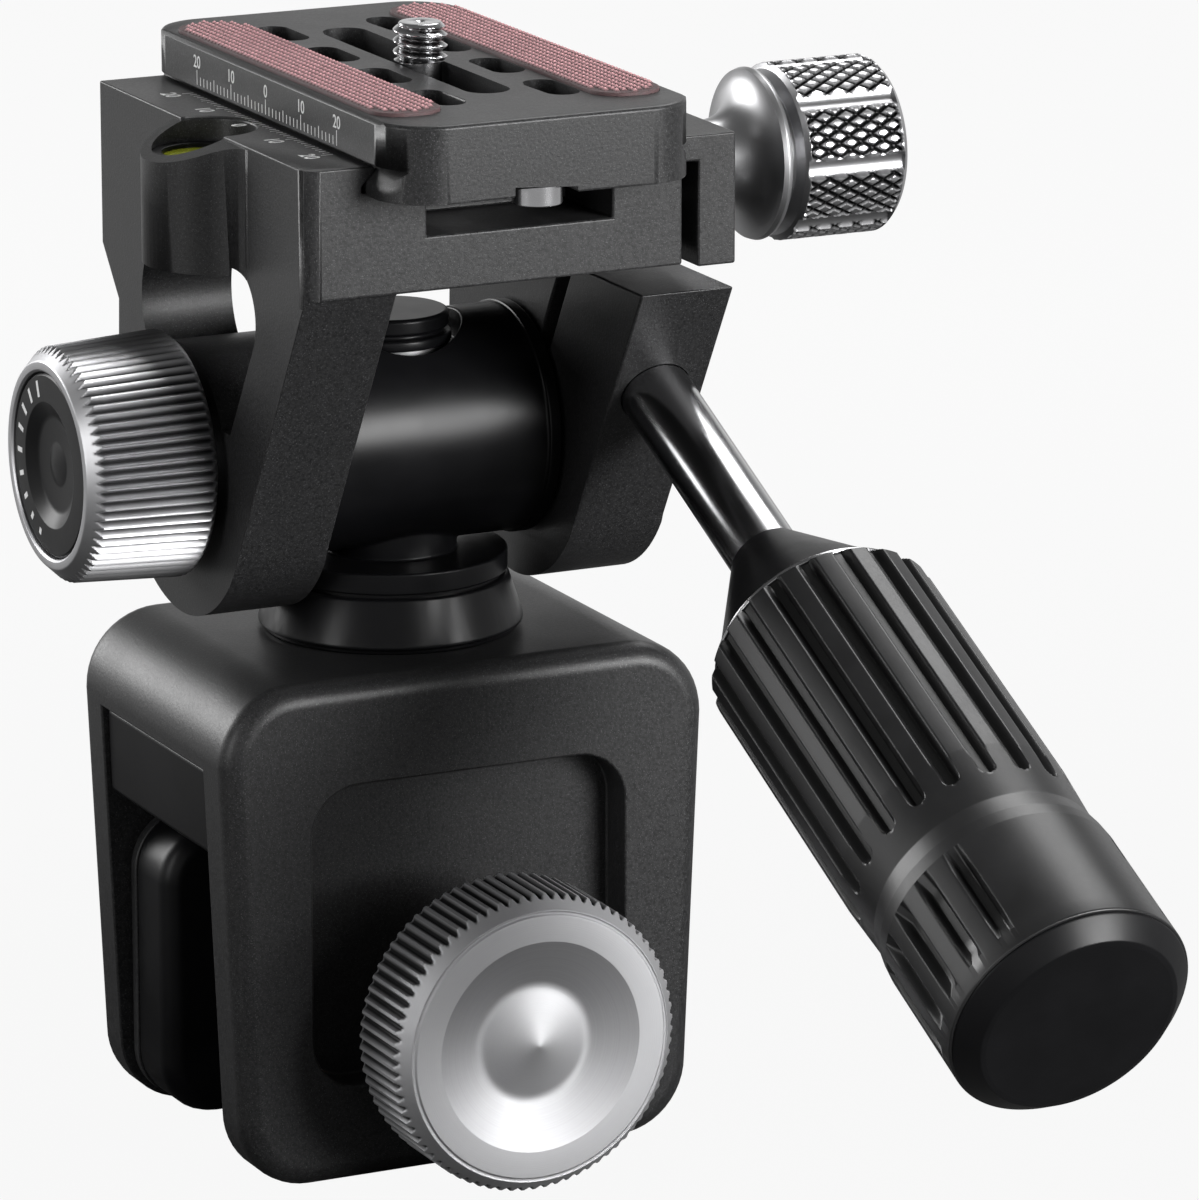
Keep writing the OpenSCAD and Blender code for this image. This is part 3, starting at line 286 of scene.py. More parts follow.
@shape_tree(
    "turned_grooves", Count=20, Kept=20, First_Angle=0.0, Turns_Per_Metre=0.0, Outer_Radius=0.01, Taper=0.0,
    Half_Width=0.001, Depth=0.001, Softness=1.0, Round=0.0, Start=-1.0, Stop=1.0, End_Scale=1.0)
def groove_tree(g, given):
    """Cuts evenly spaced grooves into a turned piece that stands on its own Z axis."""
    x, y, z = g.split(g.add("GeometryNodeInputPosition").outputs[0])
    turn = g.over(g.minus(g.math("ARCTAN2", y, x), given["First Angle"]), 2 * math.pi)
    phase = g.plus(g.times(turn, given["Count"]), g.times(z, given["Turns Per Metre"]))
    cell = g.math("ROUND", phase)
    pitch = g.over(g.times(given["Outer Radius"], 2 * math.pi), given["Count"])
    side = g.times(g.minus(phase, cell), pitch)
    past = g.most(g.minus(given["Start"], z), g.minus(z, given["Stop"]))
    away = g.hypot(side, g.times(g.most(past, 0.0), given["End Scale"]))
    inner = g.times(given["Half Width"], g.minus(1.0, given["Softness"]))
    sharp = g.ramp(away, inner, given["Half Width"], 1.0, 0.0)
    soft = g.ramp(away, inner, given["Half Width"], 1.0, 0.0, True)
    profile = g.plus(sharp, g.times(g.minus(soft, sharp), given["Round"]))
    kept = g.below(g.math("FLOORED_MODULO", cell, given["Count"]), g.minus(given["Kept"], 0.5))
    cut = g.times(g.times(profile, given["Depth"]), kept)
    outer = g.plus(given["Outer Radius"], g.times(z, given["Taper"]))
    floor = g.plus(g.minus(outer, cut), g.below(cut, NOTHING))
    radius = g.hypot(x, y)
    left = g.math("MINIMUM", radius, floor)
    shrink = g.over(left, g.most(radius, NOTHING))
    # The cut's depth is kept as the groove attribute, which the finishes use to paint shade in the groove
    # bottoms.
    before = g.fill(g.add("GeometryNodeInputNamedAttribute", data_type="FLOAT"), Name="groove")
    sunk = g.over(g.minus(radius, left), given["Depth"])
    note = g.add("GeometryNodeStoreNamedAttribute", data_type="FLOAT", domain="POINT")
    g.fill(note, Geometry=given["Geometry"], Name="groove", Value=g.most(before.outputs["Attribute"], sunk))
    place = g.join(g.times(x, shrink), g.times(y, shrink), z)
    return g.fill(g.add("GeometryNodeSetPosition"), Geometry=note.outputs[0], Position=place).outputs[0]


@shape_tree(
    "scale_marks", Count=41, Pitch=0.001, Short=0.001, Fifth=0.0015, Tenth=0.002, Stroke=0.0002,
    Height=0.00002)
def scale_tree(g, given):
    """A row of marks along Y that stand up along Z, longer at every fifth and tenth."""
    line = g.add("GeometryNodeMeshLine", mode="OFFSET")
    g.fill(line, Count=given["Count"], Offset=g.join(0.0, given["Pitch"], 0.0))
    index = g.add("GeometryNodeInputIndex").outputs[0]
    fifth, tenth = (g.below(g.math("MODULO", index, every), 0.5) for every in (5.0, 10.0))
    length = g.plus(given["Short"], g.times(fifth, g.minus(given["Fifth"], given["Short"])))
    length = g.plus(length, g.times(tenth, g.minus(given["Tenth"], given["Fifth"])))
    block = g.fill(g.add("GeometryNodeMeshCube"), Size=(1.0, 1.0, 1.0))
    raised = g.add("GeometryNodeTransform")
    g.fill(raised, Geometry=block.outputs[0], Translation=(0.0, 0.0, 0.5))
    return g.spread(line, raised, Scale=g.join(given["Height"], given["Stroke"], length))


@shape_tree(
    "strip_bumps", Width=0.008, Length=0.06, Across=9, Along=70, Corner=0.003, Bump_Radius=0.0004,
    Bump_Height=0.0002)
def bump_tree(g, given):
    """A field of low pyramids over a strip with rounded ends."""
    grid = g.add("GeometryNodeMeshGrid")
    g.fill(grid, Size_X=given["Width"], Size_Y=given["Length"], Vertices_X=given["Across"],
           Vertices_Y=given["Along"])
    x, y = g.split(g.add("GeometryNodeInputPosition").outputs[0])[:2]
    past = []
    for place, size in ((x, "Width"), (y, "Length")):
        straight = g.minus(g.over(given[size], 2.0), given["Corner"])
        past.append(g.most(g.minus(g.math("ABSOLUTE", place), straight), 0.0))
    inside = g.below(g.hypot(*past), g.plus(given["Corner"], 10 * NOTHING))
    bump = g.add("GeometryNodeMeshCone")
    g.fill(bump, Vertices=4, Side_Segments=1, Fill_Segments=1, Radius_Top=0.15, Radius_Bottom=1.0, Depth=1.0)
    size = g.join(given["Bump Radius"], given["Bump Radius"], given["Bump Height"])
    return g.spread(grid, bump, Selection=inside, Rotation=(0.0, 0.0, math.pi / 4), Scale=size)


@shape_tree(
    "dial_marks", Count=9, Radius=0.009, From_Angle=0.0, Step=0.3, Length=0.001, Growth=0.0001,
    Stroke=0.0004, Height=0.00003)
def dial_tree(g, given):
    """Marks spread over an arc round Z, each a little longer than the last."""
    line = g.fill(g.add("GeometryNodeMeshLine", mode="OFFSET"), Count=given["Count"])
    index = g.add("GeometryNodeInputIndex").outputs[0]
    angle = g.plus(given["From Angle"], g.times(index, given["Step"]))
    x, y = (g.times(g.math(way, angle), given["Radius"]) for way in ("COSINE", "SINE"))
    arc = g.fill(g.add("GeometryNodeSetPosition"), Geometry=line.outputs[0], Position=g.join(x, y, 0.0))
    block = g.fill(g.add("GeometryNodeMeshCube"), Size=(1.0, 1.0, 1.0))
    length = g.plus(given["Length"], g.times(index, given["Growth"]))
    return g.spread(arc, block, Rotation=g.join(0.0, 0.0, angle),
                    Scale=g.join(length, given["Stroke"], given["Height"]))


@shader_tree("skin_grain", ("Value", "Specks", "Height"), Scale=3000.0, Speck_Level=0.66)
def grain_group(g, given, out):
    """Bead-blasted or moulded skin: two sizes of grain, with sparse bright specks that black_anodised paints
    in as glints.
    """
    coarse = g.noise(given["Vector"], given["Scale"], 2.0, 0.6)
    fine = g.noise(given["Vector"], g.times(given["Scale"], 2.7), 1.0, 0.5)
    g.feed(out["Value"], g.ramp(coarse, 0.3, 0.7))
    g.feed(out["Specks"], g.ramp(fine, given["Speck Level"], g.plus(given["Speck Level"], 0.08)))
    g.feed(out["Height"], g.blend(coarse, fine, 0.7))


@shader_tree("handling_marks", ("Value",), Scale=60.0)
def handling_group(g, given, out):
    """Slow cloudy variation from handling and wiping."""
    cloud = g.noise(given["Vector"], given["Scale"], 4.0, 0.65)
    g.feed(out["Value"], g.ramp(cloud, 0.35, 0.68, smooth=True))


@shader_tree("lathe_rings", ("Value", "Height"), Lines=9000.0)
def rings_group(g, given, out):
    """Fine lathe marks round Z on a centred vector: rings on faces and lines round the sides."""
    x, y, z = g.split(given["Vector"])
    track = g.plus(g.hypot(x, y), g.times(z, 1.37))
    line = g.noise(g.join(track, 0.0, 0.0), given["Lines"], 3.0, 0.6)
    g.feed(out["Value"], g.ramp(line, 0.3, 0.7))
    g.feed(out["Height"], line)


def tint(colour, factor):
    return tuple(min(1.0, channel * factor) for channel in colour)


def colours():
    return bpy.context.scene.mount_finish


def detail():
    return bpy.context.scene.mount_detail


def axis_point(joint):
    return Vector(JOINTS[joint]["pos_m"])


class Finish:
    """One procedural material with its Principled shader and Object coordinates."""

    def __init__(self, name):
        self.material = bpy.data.materials.new("mount_" + name)
        self.material.use_nodes = True
        tree = self.material.node_tree
        tree.nodes.clear()
        self.g = Graph(tree)
        self.shader = self.g.add("ShaderNodeBsdfPrincipled")
        self.g.fill(self.g.add("ShaderNodeOutputMaterial"), Surface=self.shader.outputs[0])
        self.coords = self.g.add("ShaderNodeTexCoord").outputs["Object"]

    def set(self, **sockets):
        self.g.fill(self.shader, **sockets)

    def group(self, tree, **sockets):
        return self.g.fill(self.g.add("ShaderNodeGroup", node_tree=tree), **sockets).outputs

    def grain(self, scale, level):
        return self.group(grain_group(), Vector=self.coords, Scale=scale, Speck_Level=level)

    def marks(self, scale):
        return self.group(handling_group(), Vector=self.coords, Scale=scale)["Value"]

    def rings(self, joint, turn, lines):
        """Lathe marks about a joint's axis. turn makes that axis Z."""
        moved = self.g.vector("SUBTRACT", self.coords, tuple(axis_point(joint)))
        node = self.g.fill(self.g.add("ShaderNodeMapping", vector_type="POINT"), Vector=moved, Rotation=turn)
        return self.group(rings_group(), Vector=node.outputs[0], Lines=lines)

    def colour(self, factor, base, low, high, groove=1.0):
        """Base colour between two tints, times groove in the bottom of the cut grooves as painted shade."""
        tone = self.g.mix(factor, (*tint(base, low), 1.0), (*tint(base, high), 1.0))
        if groove < 1.0:
            # Painted shade: the colour is darkened in the bottom of the cut grooves.
            depth = self.g.add("ShaderNodeAttribute", attribute_name="groove").outputs["Fac"]
            shade = self.g.ramp(depth, 0.10, 0.75, 1.0, groove)
            tone = self.g.vector("MULTIPLY", tone, self.g.join(shade, shade, shade))
        self.set(Base_Color=tone)

    def roughness(self, factor, low, high):
        self.set(Roughness=self.g.ramp(factor, 0.0, 1.0, low, high))

    def bump(self, height, strength, distance):
        node = self.g.fill(self.g.add("ShaderNodeBump"), Strength=strength, Distance=distance, Height=height)
        self.set(Normal=node.outputs[0])


def black_anodised():
    f = Finish("black_anodised")
    base = colours().black
    grain = f.grain(2600.0, 0.63)
    body = f.g.mix(grain["Value"], (*tint(base, 0.6), 1.0), (*tint(base, 1.5), 1.0))
    # Painted glints: the sparse specks, four times the base colour, stand in for the sparkle of the blasted
    # skin; the grain between them is the finish's own tone.
    f.set(Base_Color=f.g.mix(grain["Specks"], body, (*tint(base, 4.0), 1.0)), Specular_IOR_Level=0.30)
    f.roughness(f.g.blend(grain["Value"], f.marks(45.0), 0.6), 0.34, 0.46)
    f.bump(grain["Height"], 0.45, 0.00006)
    return f.material


def drum_black():
    f = Finish("drum_black")
    rings = f.rings("tilt", ALONG_X, 6000.0)
    marks = f.marks(70.0)
    f.colour(marks, colours().drum, 0.9, 1.25)
    f.roughness(f.g.blend(rings["Value"], marks, 0.4), 0.27, 0.35)
    f.bump(rings["Height"], 0.04, 0.00002)
    f.set(Specular_IOR_Level=0.15)
    return f.material


def black_rubber():
    f = Finish("black_rubber")
    grain = f.grain(2200.0, 0.7)
    marks = f.marks(80.0)
    # The last number darkens the bottom of the grip's grooves as painted shade.
    f.colour(marks, colours().rubber, 0.85, 1.3, 0.1)
    f.roughness(f.g.blend(grain["Value"], marks, 0.5), 0.32, 0.40)
    f.bump(grain["Height"], 0.12, 0.00005)
    f.set(Specular_IOR_Level=0.40)
    return f.material


def black_plastic():
    f = Finish("black_plastic")
    grain = f.grain(3600.0, 0.72)
    marks = f.marks(90.0)
    f.colour(marks, colours().plastic, 0.9, 1.3)
    f.roughness(f.g.blend(grain["Value"], marks, 0.3), 0.30, 0.40)
    f.bump(grain["Height"], 0.06, 0.00003)
    f.set(Specular_IOR_Level=0.16)
    return f.material


def brick_base():
    """Ground of the rubber strips, painted dark as shade between the bumps."""
    return brick("brick_base", tint(colours().brick, 0.25))


def brick_rubber():
    """Bumps of the rubber strips, with painted light at their tips and painted shade at their feet."""
    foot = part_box("grip_strips")[1].z
    return brick("brick_rubber", tint(colours().brick, 2.0), 0.15, (foot + 0.06 * MM, foot + 0.34 * MM))


def brick(name, base, dark=0.7, shade_span=None):
    """Moulded rubber. Where two heights are given, it grows lighter from the first to the second, as painted
    shade low on the bumps turning into painted light at their tips.
    """
    f = Finish(name)
    grain = f.grain(1500.0, 0.66)
    factor = grain["Value"]
    if shade_span:
        # Painted shade and light: darker low on the bumps, lighter at their tips.
        height = f.g.ramp(f.g.split(f.coords)[2], *shade_span)
        factor = f.g.times(height, f.g.ramp(factor, 0.0, 1.0, 0.7, 1.0))
    f.colour(factor, base, dark, 1.25)
    f.roughness(grain["Value"], 0.60, 0.75)
    f.bump(grain["Height"], 0.2, 0.00005)
    return f.material


def scale_print():
    f = Finish("scale_print")
    grain = f.grain(2600.0, 0.66)
    f.colour(grain["Value"], colours().print_white, 0.85, 1.05)
    f.roughness(grain["Value"], 0.5, 0.65)
    return f.material


def level_fluid():
    f = Finish("level_fluid")
    marks = f.marks(260.0)
    f.colour(marks, colours().fluid, 0.85, 1.15)
    f.roughness(marks, 0.05, 0.12)
    f.set(Coat_Weight=1.0, Coat_Roughness=0.04)
    return f.material


FINISHES = {made.__name__: made for made in (
    black_anodised, drum_black, black_rubber, black_plastic,
    brick_base, brick_rubber, scale_print, level_fluid)}

# Each turned metal has its colour and tint, axis, roughness, lathe lines and the tint of the painted shade in
# its grooves.
METALS = {
    "clamp_silver": ("silver", 1.02, "clamp_screw_turn", ALONG_Y, (0.56, 0.64), 9000.0, 0.10),
    "friction_silver": ("silver", 1.0, "tilt", ALONG_X, (0.38, 0.46), 9000.0, 0.30),
    "jaw_chrome": ("chrome", 0.75, "jaw_knob_turn", ALONG_X, (0.32, 0.40), 7000.0, 0.03),
    "rod_chrome": ("chrome", 0.75, "handle_twist", ALONG_HANDLE, (0.16, 0.24), 6000.0, 0.25),
    "screw_chrome": ("chrome", 1.0, "camera_screw_turn", ALONG_Z, (0.14, 0.24), 8000.0, 0.25),
    "plain_steel": ("steel", 1.0, "tilt", ALONG_X, (0.28, 0.42), 6000.0, 0.25),
    "bearing_bronze": ("bronze", 1.0, "pan", ALONG_Z, (0.30, 0.45), 6000.0, 0.25),
}


def turned_metal(name):
    """Metal with lathe marks about one axis and painted shade in its grooves."""
    colour, factor, joint, turn, rough, lines, groove = METALS[name]
    f = Finish(name)
    rings = f.rings(joint, turn, lines)
    f.colour(rings["Value"], tint(getattr(colours(), colour), factor), 0.93, 1.05, groove)
    f.roughness(f.g.blend(rings["Value"], f.marks(110.0), 0.5), *rough)
    f.bump(rings["Height"], 0.08, 0.00002)
    f.set(Metallic=1.0)
    return f.material


def finish(name):
    """The material of that name, made when it is first asked for."""
    made = bpy.data.materials.get("mount_" + name)
    return made or (turned_metal(name) if name in METALS else FINISHES[name]())


def plain_mesh(mesh, name, kind, settings, inputs=()):
    """Runs one modifier on a mesh and returns a plain mesh. inputs are those of a geometry tree."""
    holder = bpy.data.objects.new(name + "_making", mesh)
    bpy.context.collection.objects.link(holder)
    modifier = holder.modifiers.new(kind.lower(), kind)
    for key, value in settings.items():
        setattr(modifier, key, value)
    if kind == "NODES":
        for item in modifier.node_group.interface.items_tree:
            if item.item_type == "SOCKET" and item.in_out == "INPUT" and item.name in inputs:
                modifier[item.identifier] = inputs[item.name]
    return taken(holder, name)


def taken(holder, name):
    """The evaluated mesh of an object, which is then removed."""
    bpy.context.view_layer.update()
    graph = bpy.context.evaluated_depsgraph_get()
    made = bpy.data.meshes.new_from_object(
        holder.evaluated_get(graph), preserve_all_data_layers=True, depsgraph=graph)
    bpy.data.objects.remove(holder)
    made.name = name
    return made


def run_tree(mesh, name, tree, material, **values):
    """Runs a geometry tree on a mesh, with plain names for its inputs."""
    inputs = {key.replace("_", " ").title(): value for key, value in values.items()}
    inputs["Material"] = finish(material)
    return plain_mesh(mesh, name, "NODES", {"node_group": tree}, inputs)


def grooved(mesh, name, material, count, kept=None, **values):
    """Cuts grooves into a turned mesh, all of them or the first few."""
    return run_tree(mesh, name, groove_tree(), material, count=count, kept=kept or count, **values)


def grown(name, tree, material, **values):
    """A mesh that a geometry tree makes from nothing."""
    return run_tree(bpy.data.meshes.new(name), name, tree, material, **values)


def joined(name, meshes):
    bm = bmesh.new()
    for mesh in meshes:
        bm.from_mesh(mesh)
    made = bpy.data.meshes.new(name)
    bm.to_mesh(made)
    bm.free()
    return made


def piece(name, mesh, body, material, stands_for=(), smooth=None):
    """Makes a finished piece at the origin that rides on a body."""
    mesh.materials.clear()
    mesh.materials.append(finish(material))
    mesh.polygons.foreach_set("material_index", [0] * len(mesh.polygons))
    if smooth is not None:
        soften(mesh, smooth)
    mesh.update()
    made = bpy.data.objects.new(name, mesh)
    bpy.context.collection.objects.link(made)
    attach(made, body)
    if stands_for:
        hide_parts(*stands_for)
    return made


def soften(mesh, angle):
    """Smooth shading, apart from edges sharper than an angle in degrees."""
    mesh.polygons.foreach_set("use_smooth", [True] * len(mesh.polygons))
    mesh.set_sharp_from_angle(angle=math.radians(angle))


def dressed(node, mesh, material, smooth=None, place=None):
    """A piece that stands for one CAD node, on its body and in its slot, moved to its place."""
    if place is not None:
        mesh.transform(place)
    return piece(node + "_dressed", mesh, BODY_OF[node], material, (node,), smooth)


def node_faces(node):
    """A merged copy of a CAD node's faces, with flat areas joined to single faces."""
    bm = bmesh.new()
    bm.from_mesh(frame["nodes"][node].data)
    bmesh.ops.remove_doubles(bm, verts=bm.verts, dist=WELD)
    bmesh.ops.dissolve_degenerate(bm, edges=bm.edges, dist=WELD)
    bmesh.ops.dissolve_limit(bm, angle_limit=math.radians(FLAT_ANGLE), verts=bm.verts, edges=bm.edges)
    return bm


def edge_room(edge):
    """Length of the shortest edge that leaves either end of an edge sideways."""
    along = (edge.verts[1].co - edge.verts[0].co).normalized()
    room = math.inf
    for vert in edge.verts:
        for other in vert.link_edges:
            way = other.other_vert(vert).co - vert.co
            if other is not edge and abs(way.normalized().dot(along)) < SIDEWAYS:
                room = min(room, way.length)
    return room


def on_rim(edge, low, high):
    """Tells whether an edge lies on the upper outer outline of the quick plate, whose corners are round."""
    ups = [face for face in edge.link_faces if face.normal.z > LEVEL]
    walls = [face for face in edge.link_faces if abs(face.normal.z) < 1 - LEVEL]
    if len(ups) != 1 or len(walls) != 1:
        return False
    middle = (edge.verts[0].co + edge.verts[1].co) / 2
    out = middle - (low + high) / 2
    side = (high.x - low.x) / 2 - abs(out.x)
    end = (high.y - low.y) / 2 - abs(out.y)
    near = min(side, end) < 0.1 * MM or max(side, end) < PLATE_CORNER
    return near and walls[0].normal.xy.dot(out.xy) > 0


def machined(node, material, width, angle=32.0, shortest=0.0, rim=None):
    """A CAD node with its sharp edges broken, each as far as the faces beside it leave room.

    Edges below the angle or the shortest length stay sharp. Where rim is given, the whole upper outline is
    broken by that width.
    """
    bm = node_faces(node)
    weight = bm.edges.layers.float.new("bevel_weight_edge")
    widest = max(width, rim or 0.0)
    low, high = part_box(node)
    for edge in bm.edges:
        if len(edge.link_faces) != 2 or edge.calc_face_angle() < math.radians(angle):
            continue
        if rim and on_rim(edge, low, high):
            edge[weight] = rim / widest
        elif edge.calc_length() > shortest:
            edge[weight] = min(width, BEVEL_SHARE * edge_room(edge)) / widest
    source = bpy.data.meshes.new(node + "_copy")
    bm.to_mesh(source)
    bm.free()
    mesh = plain_mesh(source, node, "BEVEL", {
        "width": widest, "segments": BEVEL_STEPS, "limit_method": "WEIGHT", "use_clamp_overlap": False,
        "loop_slide": False})
    soften(mesh, SHARP_ANGLE)
    mesh = plain_mesh(mesh, node, "WEIGHTED_NORMAL", {"mode": "FACE_AREA", "weight": 100, "keep_sharp": True})
    return dressed(node, mesh, material)


def rounded(points, steps=4):
    """A turned outline in millimetres with its corners filleted. Points are (radius, height, fillet)."""
    made = []
    for i, (r, z, fillet) in enumerate(points):
        here = Vector((r, z))
        if fillet <= 0 or i in (0, len(points) - 1):
            made.append(here)
            continue
        before = Vector(points[i - 1][:2]) - here
        after = Vector(points[i + 1][:2]) - here
        half = before.angle(after) / 2
        reach = min(fillet / math.tan(half), before.length * FILLET_SHARE, after.length * FILLET_SHARE)
        start = here + before.normalized() * reach
        end = here + after.normalized() * reach
        for step in range(steps + 1):
            t = step / steps
            made.append(start * (1 - t) ** 2 + here * 2 * t * (1 - t) + end * t ** 2)
    return made


def resampled(points, step, low=-math.inf, high=math.inf):
    """Adds points so that no stretch between two heights is longer than step."""
    made = [points[0]]
    for a, b in zip(points, points[1:]):
        middle = (a.y + b.y) / 2
        parts = max(1, math.ceil((b - a).length / step)) if low <= middle <= high else 1
        made += [a.lerp(b, k / parts) for k in range(1, parts + 1)]
    return made


def turned(name, points, segments, shape=None):
    """A mesh turned about Z from outline points in millimetres.

    shape(angle, radius, height) may alter a radius.
    """
    bm = bmesh.new()
    rings = []
    for r, z in points:
        if r < NOTHING:
            rings.append([bm.verts.new((0, 0, z * MM))])
            continue
        ring = []
        for k in range(segments):
            a = 2 * math.pi * k / segments
            radius = shape(a, r, z) if shape else r
            ring.append(bm.verts.new((radius * math.cos(a) * MM, radius * math.sin(a) * MM, z * MM)))
        rings.append(ring)
    for low, high in zip(rings, rings[1:]):
        for k in range(segments):
            n = (k + 1) % segments
            if len(low) == 1 and len(high) == 1:
                continue
            if len(low) == 1:
                bm.faces.new((low[0], high[n], high[k]))
            elif len(high) == 1:
                bm.faces.new((low[k], low[n], high[0]))
            else:
                bm.faces.new((low[k], low[n], high[n], high[k]))
    bmesh.ops.recalc_face_normals(bm, faces=bm.faces)
    mesh = bpy.data.meshes.new(name)
    bm.to_mesh(mesh)
    bm.free()
    return mesh


def on_x(centre):
    return Matrix.Translation(centre) @ Matrix.Rotation(math.pi / 2, 4, "Y")


def on_y(centre):
    return Matrix.Translation(centre) @ Matrix.Rotation(-math.pi / 2, 4, "X")


def node_axis(node, along):
    """Centre of a turned node, with zero along its axis, then its ends and its radius in millimetres."""
    low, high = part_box(node)
    centre = (low + high) / 2
    index = "XYZ".index(along)
    side = (index + 1) % 3
    centre[index] = 0.0
    return centre, low[index] / MM, high[index] / MM, (high[side] - low[side]) / 2 / MM


class MountPiece:
    """What all piece operators share. Each has a build function of its own."""

    bl_options = {"REGISTER", "UNDO"}

    def execute(self, context):
        self.build()
        return {"FINISHED"}


class MOUNT_OT_castings(MountPiece, bpy.types.Operator):
    """Bevelled copies of the machined parts"""

    bl_idname = "mount.castings"
    bl_label = "Machined parts"

    steep = 50.0
    long_edge = 4 * MM
    rim = 0.5 * MM

    def build(self):
        edge = detail().edge
        for node in ("clamp_body", "jaw"):
            machined(node, "black_anodised", edge)
        machined("platform", "black_anodised", edge, self.steep, self.long_edge)
        machined("quick_plate", "black_anodised", edge, self.steep, self.long_edge, self.rim)
        for node in ("rear_pad_plate", "axle_cap"):
            machined(node, "black_anodised", edge * 0.6)
        for node in ("tilt_drum", "pan_base", "pan_cap"):
            machined(node, "drum_black", edge)
        machined("safety_screws", "screw_chrome", edge * 0.5)


class MOUNT_OT_pads(MountPiece, bpy.types.Operator):
    """Seat block, rear pad and swivel pad"""

    bl_idname = "mount.pads"
    bl_label = "Rubber pads"

    def build(self):
        machined("glass_edge_pad", "black_plastic", 0.8 * MM)
        pad = machined("rear_jaw_pad", "black_plastic", 0.3 * MM, 50.0)
        machined("pressure_pad", "black_rubber", 0.5 * MM)


class MOUNT_OT_inner_parts(MountPiece, bpy.types.Operator):
    """Finishes for the hidden parts that keep their shape"""

    bl_idname = "mount.inner_parts"
    bl_label = "Inner parts"

    inner = {
        "plain_steel": ("pan_bolt", "pan_cap_washer", "pressure_plate", "left_axle", "right_axle",
                        "knob_washer", "jaw_guide_pins", "jaw_screw", "captive_washer"),
        "bearing_bronze": ("screw_bush", "pan_bush", "left_arm_bush", "right_arm_bush"),
        "black_plastic": ("pan_thrust_washer", "left_friction_disc", "right_friction_disc"),
    }

    def build(self):
        for material, nodes in self.inner.items():
            for node in nodes:
                slots = frame["nodes"][node].data.materials
                slots.clear()
                slots.append(finish(material))


class MOUNT_OT_clamp_knob(MountPiece, bpy.types.Operator):
    """Knurled clamp knob with its dished face, and its threaded screw"""

    bl_idname = "mount.clamp_knob"
    bl_label = "Clamp knob"

    cone_r, dish_r, land_r = 6.9, 12.65, 15.75
    cone_height, dish_depth = 1.9, 2.2
    tooth_depth, tooth_share = 0.62, 0.72
    screw_r, screw_tip_r, screw_tip = 4.0, 3.0, 2.5
    thread_depth = 0.55

    def build(self):
        teeth = detail().clamp_teeth
        centre, front, back, r = node_axis("clamp_knob", "Y")
        centre.z = axis_point("clamp_screw_turn").z
        floor = front + self.dish_depth
        outline = rounded([
            (0, floor - self.cone_height, 0), (self.cone_r, floor, 2.2), (self.dish_r, front, 0.15),
            (self.land_r, front, 0.15), (15.95, front + 0.2, 0.08), (16.15, front + 0.2, 0.08),
            (16.3, front + 0.1, 0.1), (r, front + 2.0, 0.15), (r, back - 1.0, 0.1), (r - 1.0, back, 0.2),
            (self.screw_r, back, 0)], 4)
        outline = resampled(outline, 0.22, front + 0.12, front + 2.4)
        outline = resampled(outline, 0.2, back - 1.4, back)
        outline.append(Vector((0, back)))
        mesh = turned("clamp_knob", outline, teeth * 8)
        mesh = grooved(mesh, "clamp_knob", "clamp_silver", count=teeth, outer_radius=r * MM,
                       half_width=math.pi * r / teeth * self.tooth_share * MM, depth=self.tooth_depth * MM,
                       softness=0.75)
        dressed("clamp_knob", mesh, "clamp_silver", 30, on_y(centre))
        self.screw(centre)

    def screw(self, centre):
        low, high = (corner.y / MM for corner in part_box("clamp_screw"))
        thread_end = high - self.screw_tip
        outline = rounded([
            (0, low, 0), (self.screw_r, low, 0.3), (self.screw_r, thread_end, 0.3),
            (self.screw_tip_r, thread_end, 0), (self.screw_tip_r, high, 0.4), (0, high, 0)])
        outline = resampled(outline, 0.2, low + 0.5, thread_end)
        mesh = turned("clamp_screw", outline, 48)
        mesh = grooved(mesh, "clamp_screw", "plain_steel", count=1,
                       turns_per_metre=1 / detail().clamp_pitch, outer_radius=self.screw_r * MM,
                       half_width=12.0 * MM, depth=self.thread_depth * MM, softness=1.0)
        dressed("clamp_screw", mesh, "plain_steel", 40, on_y(centre))


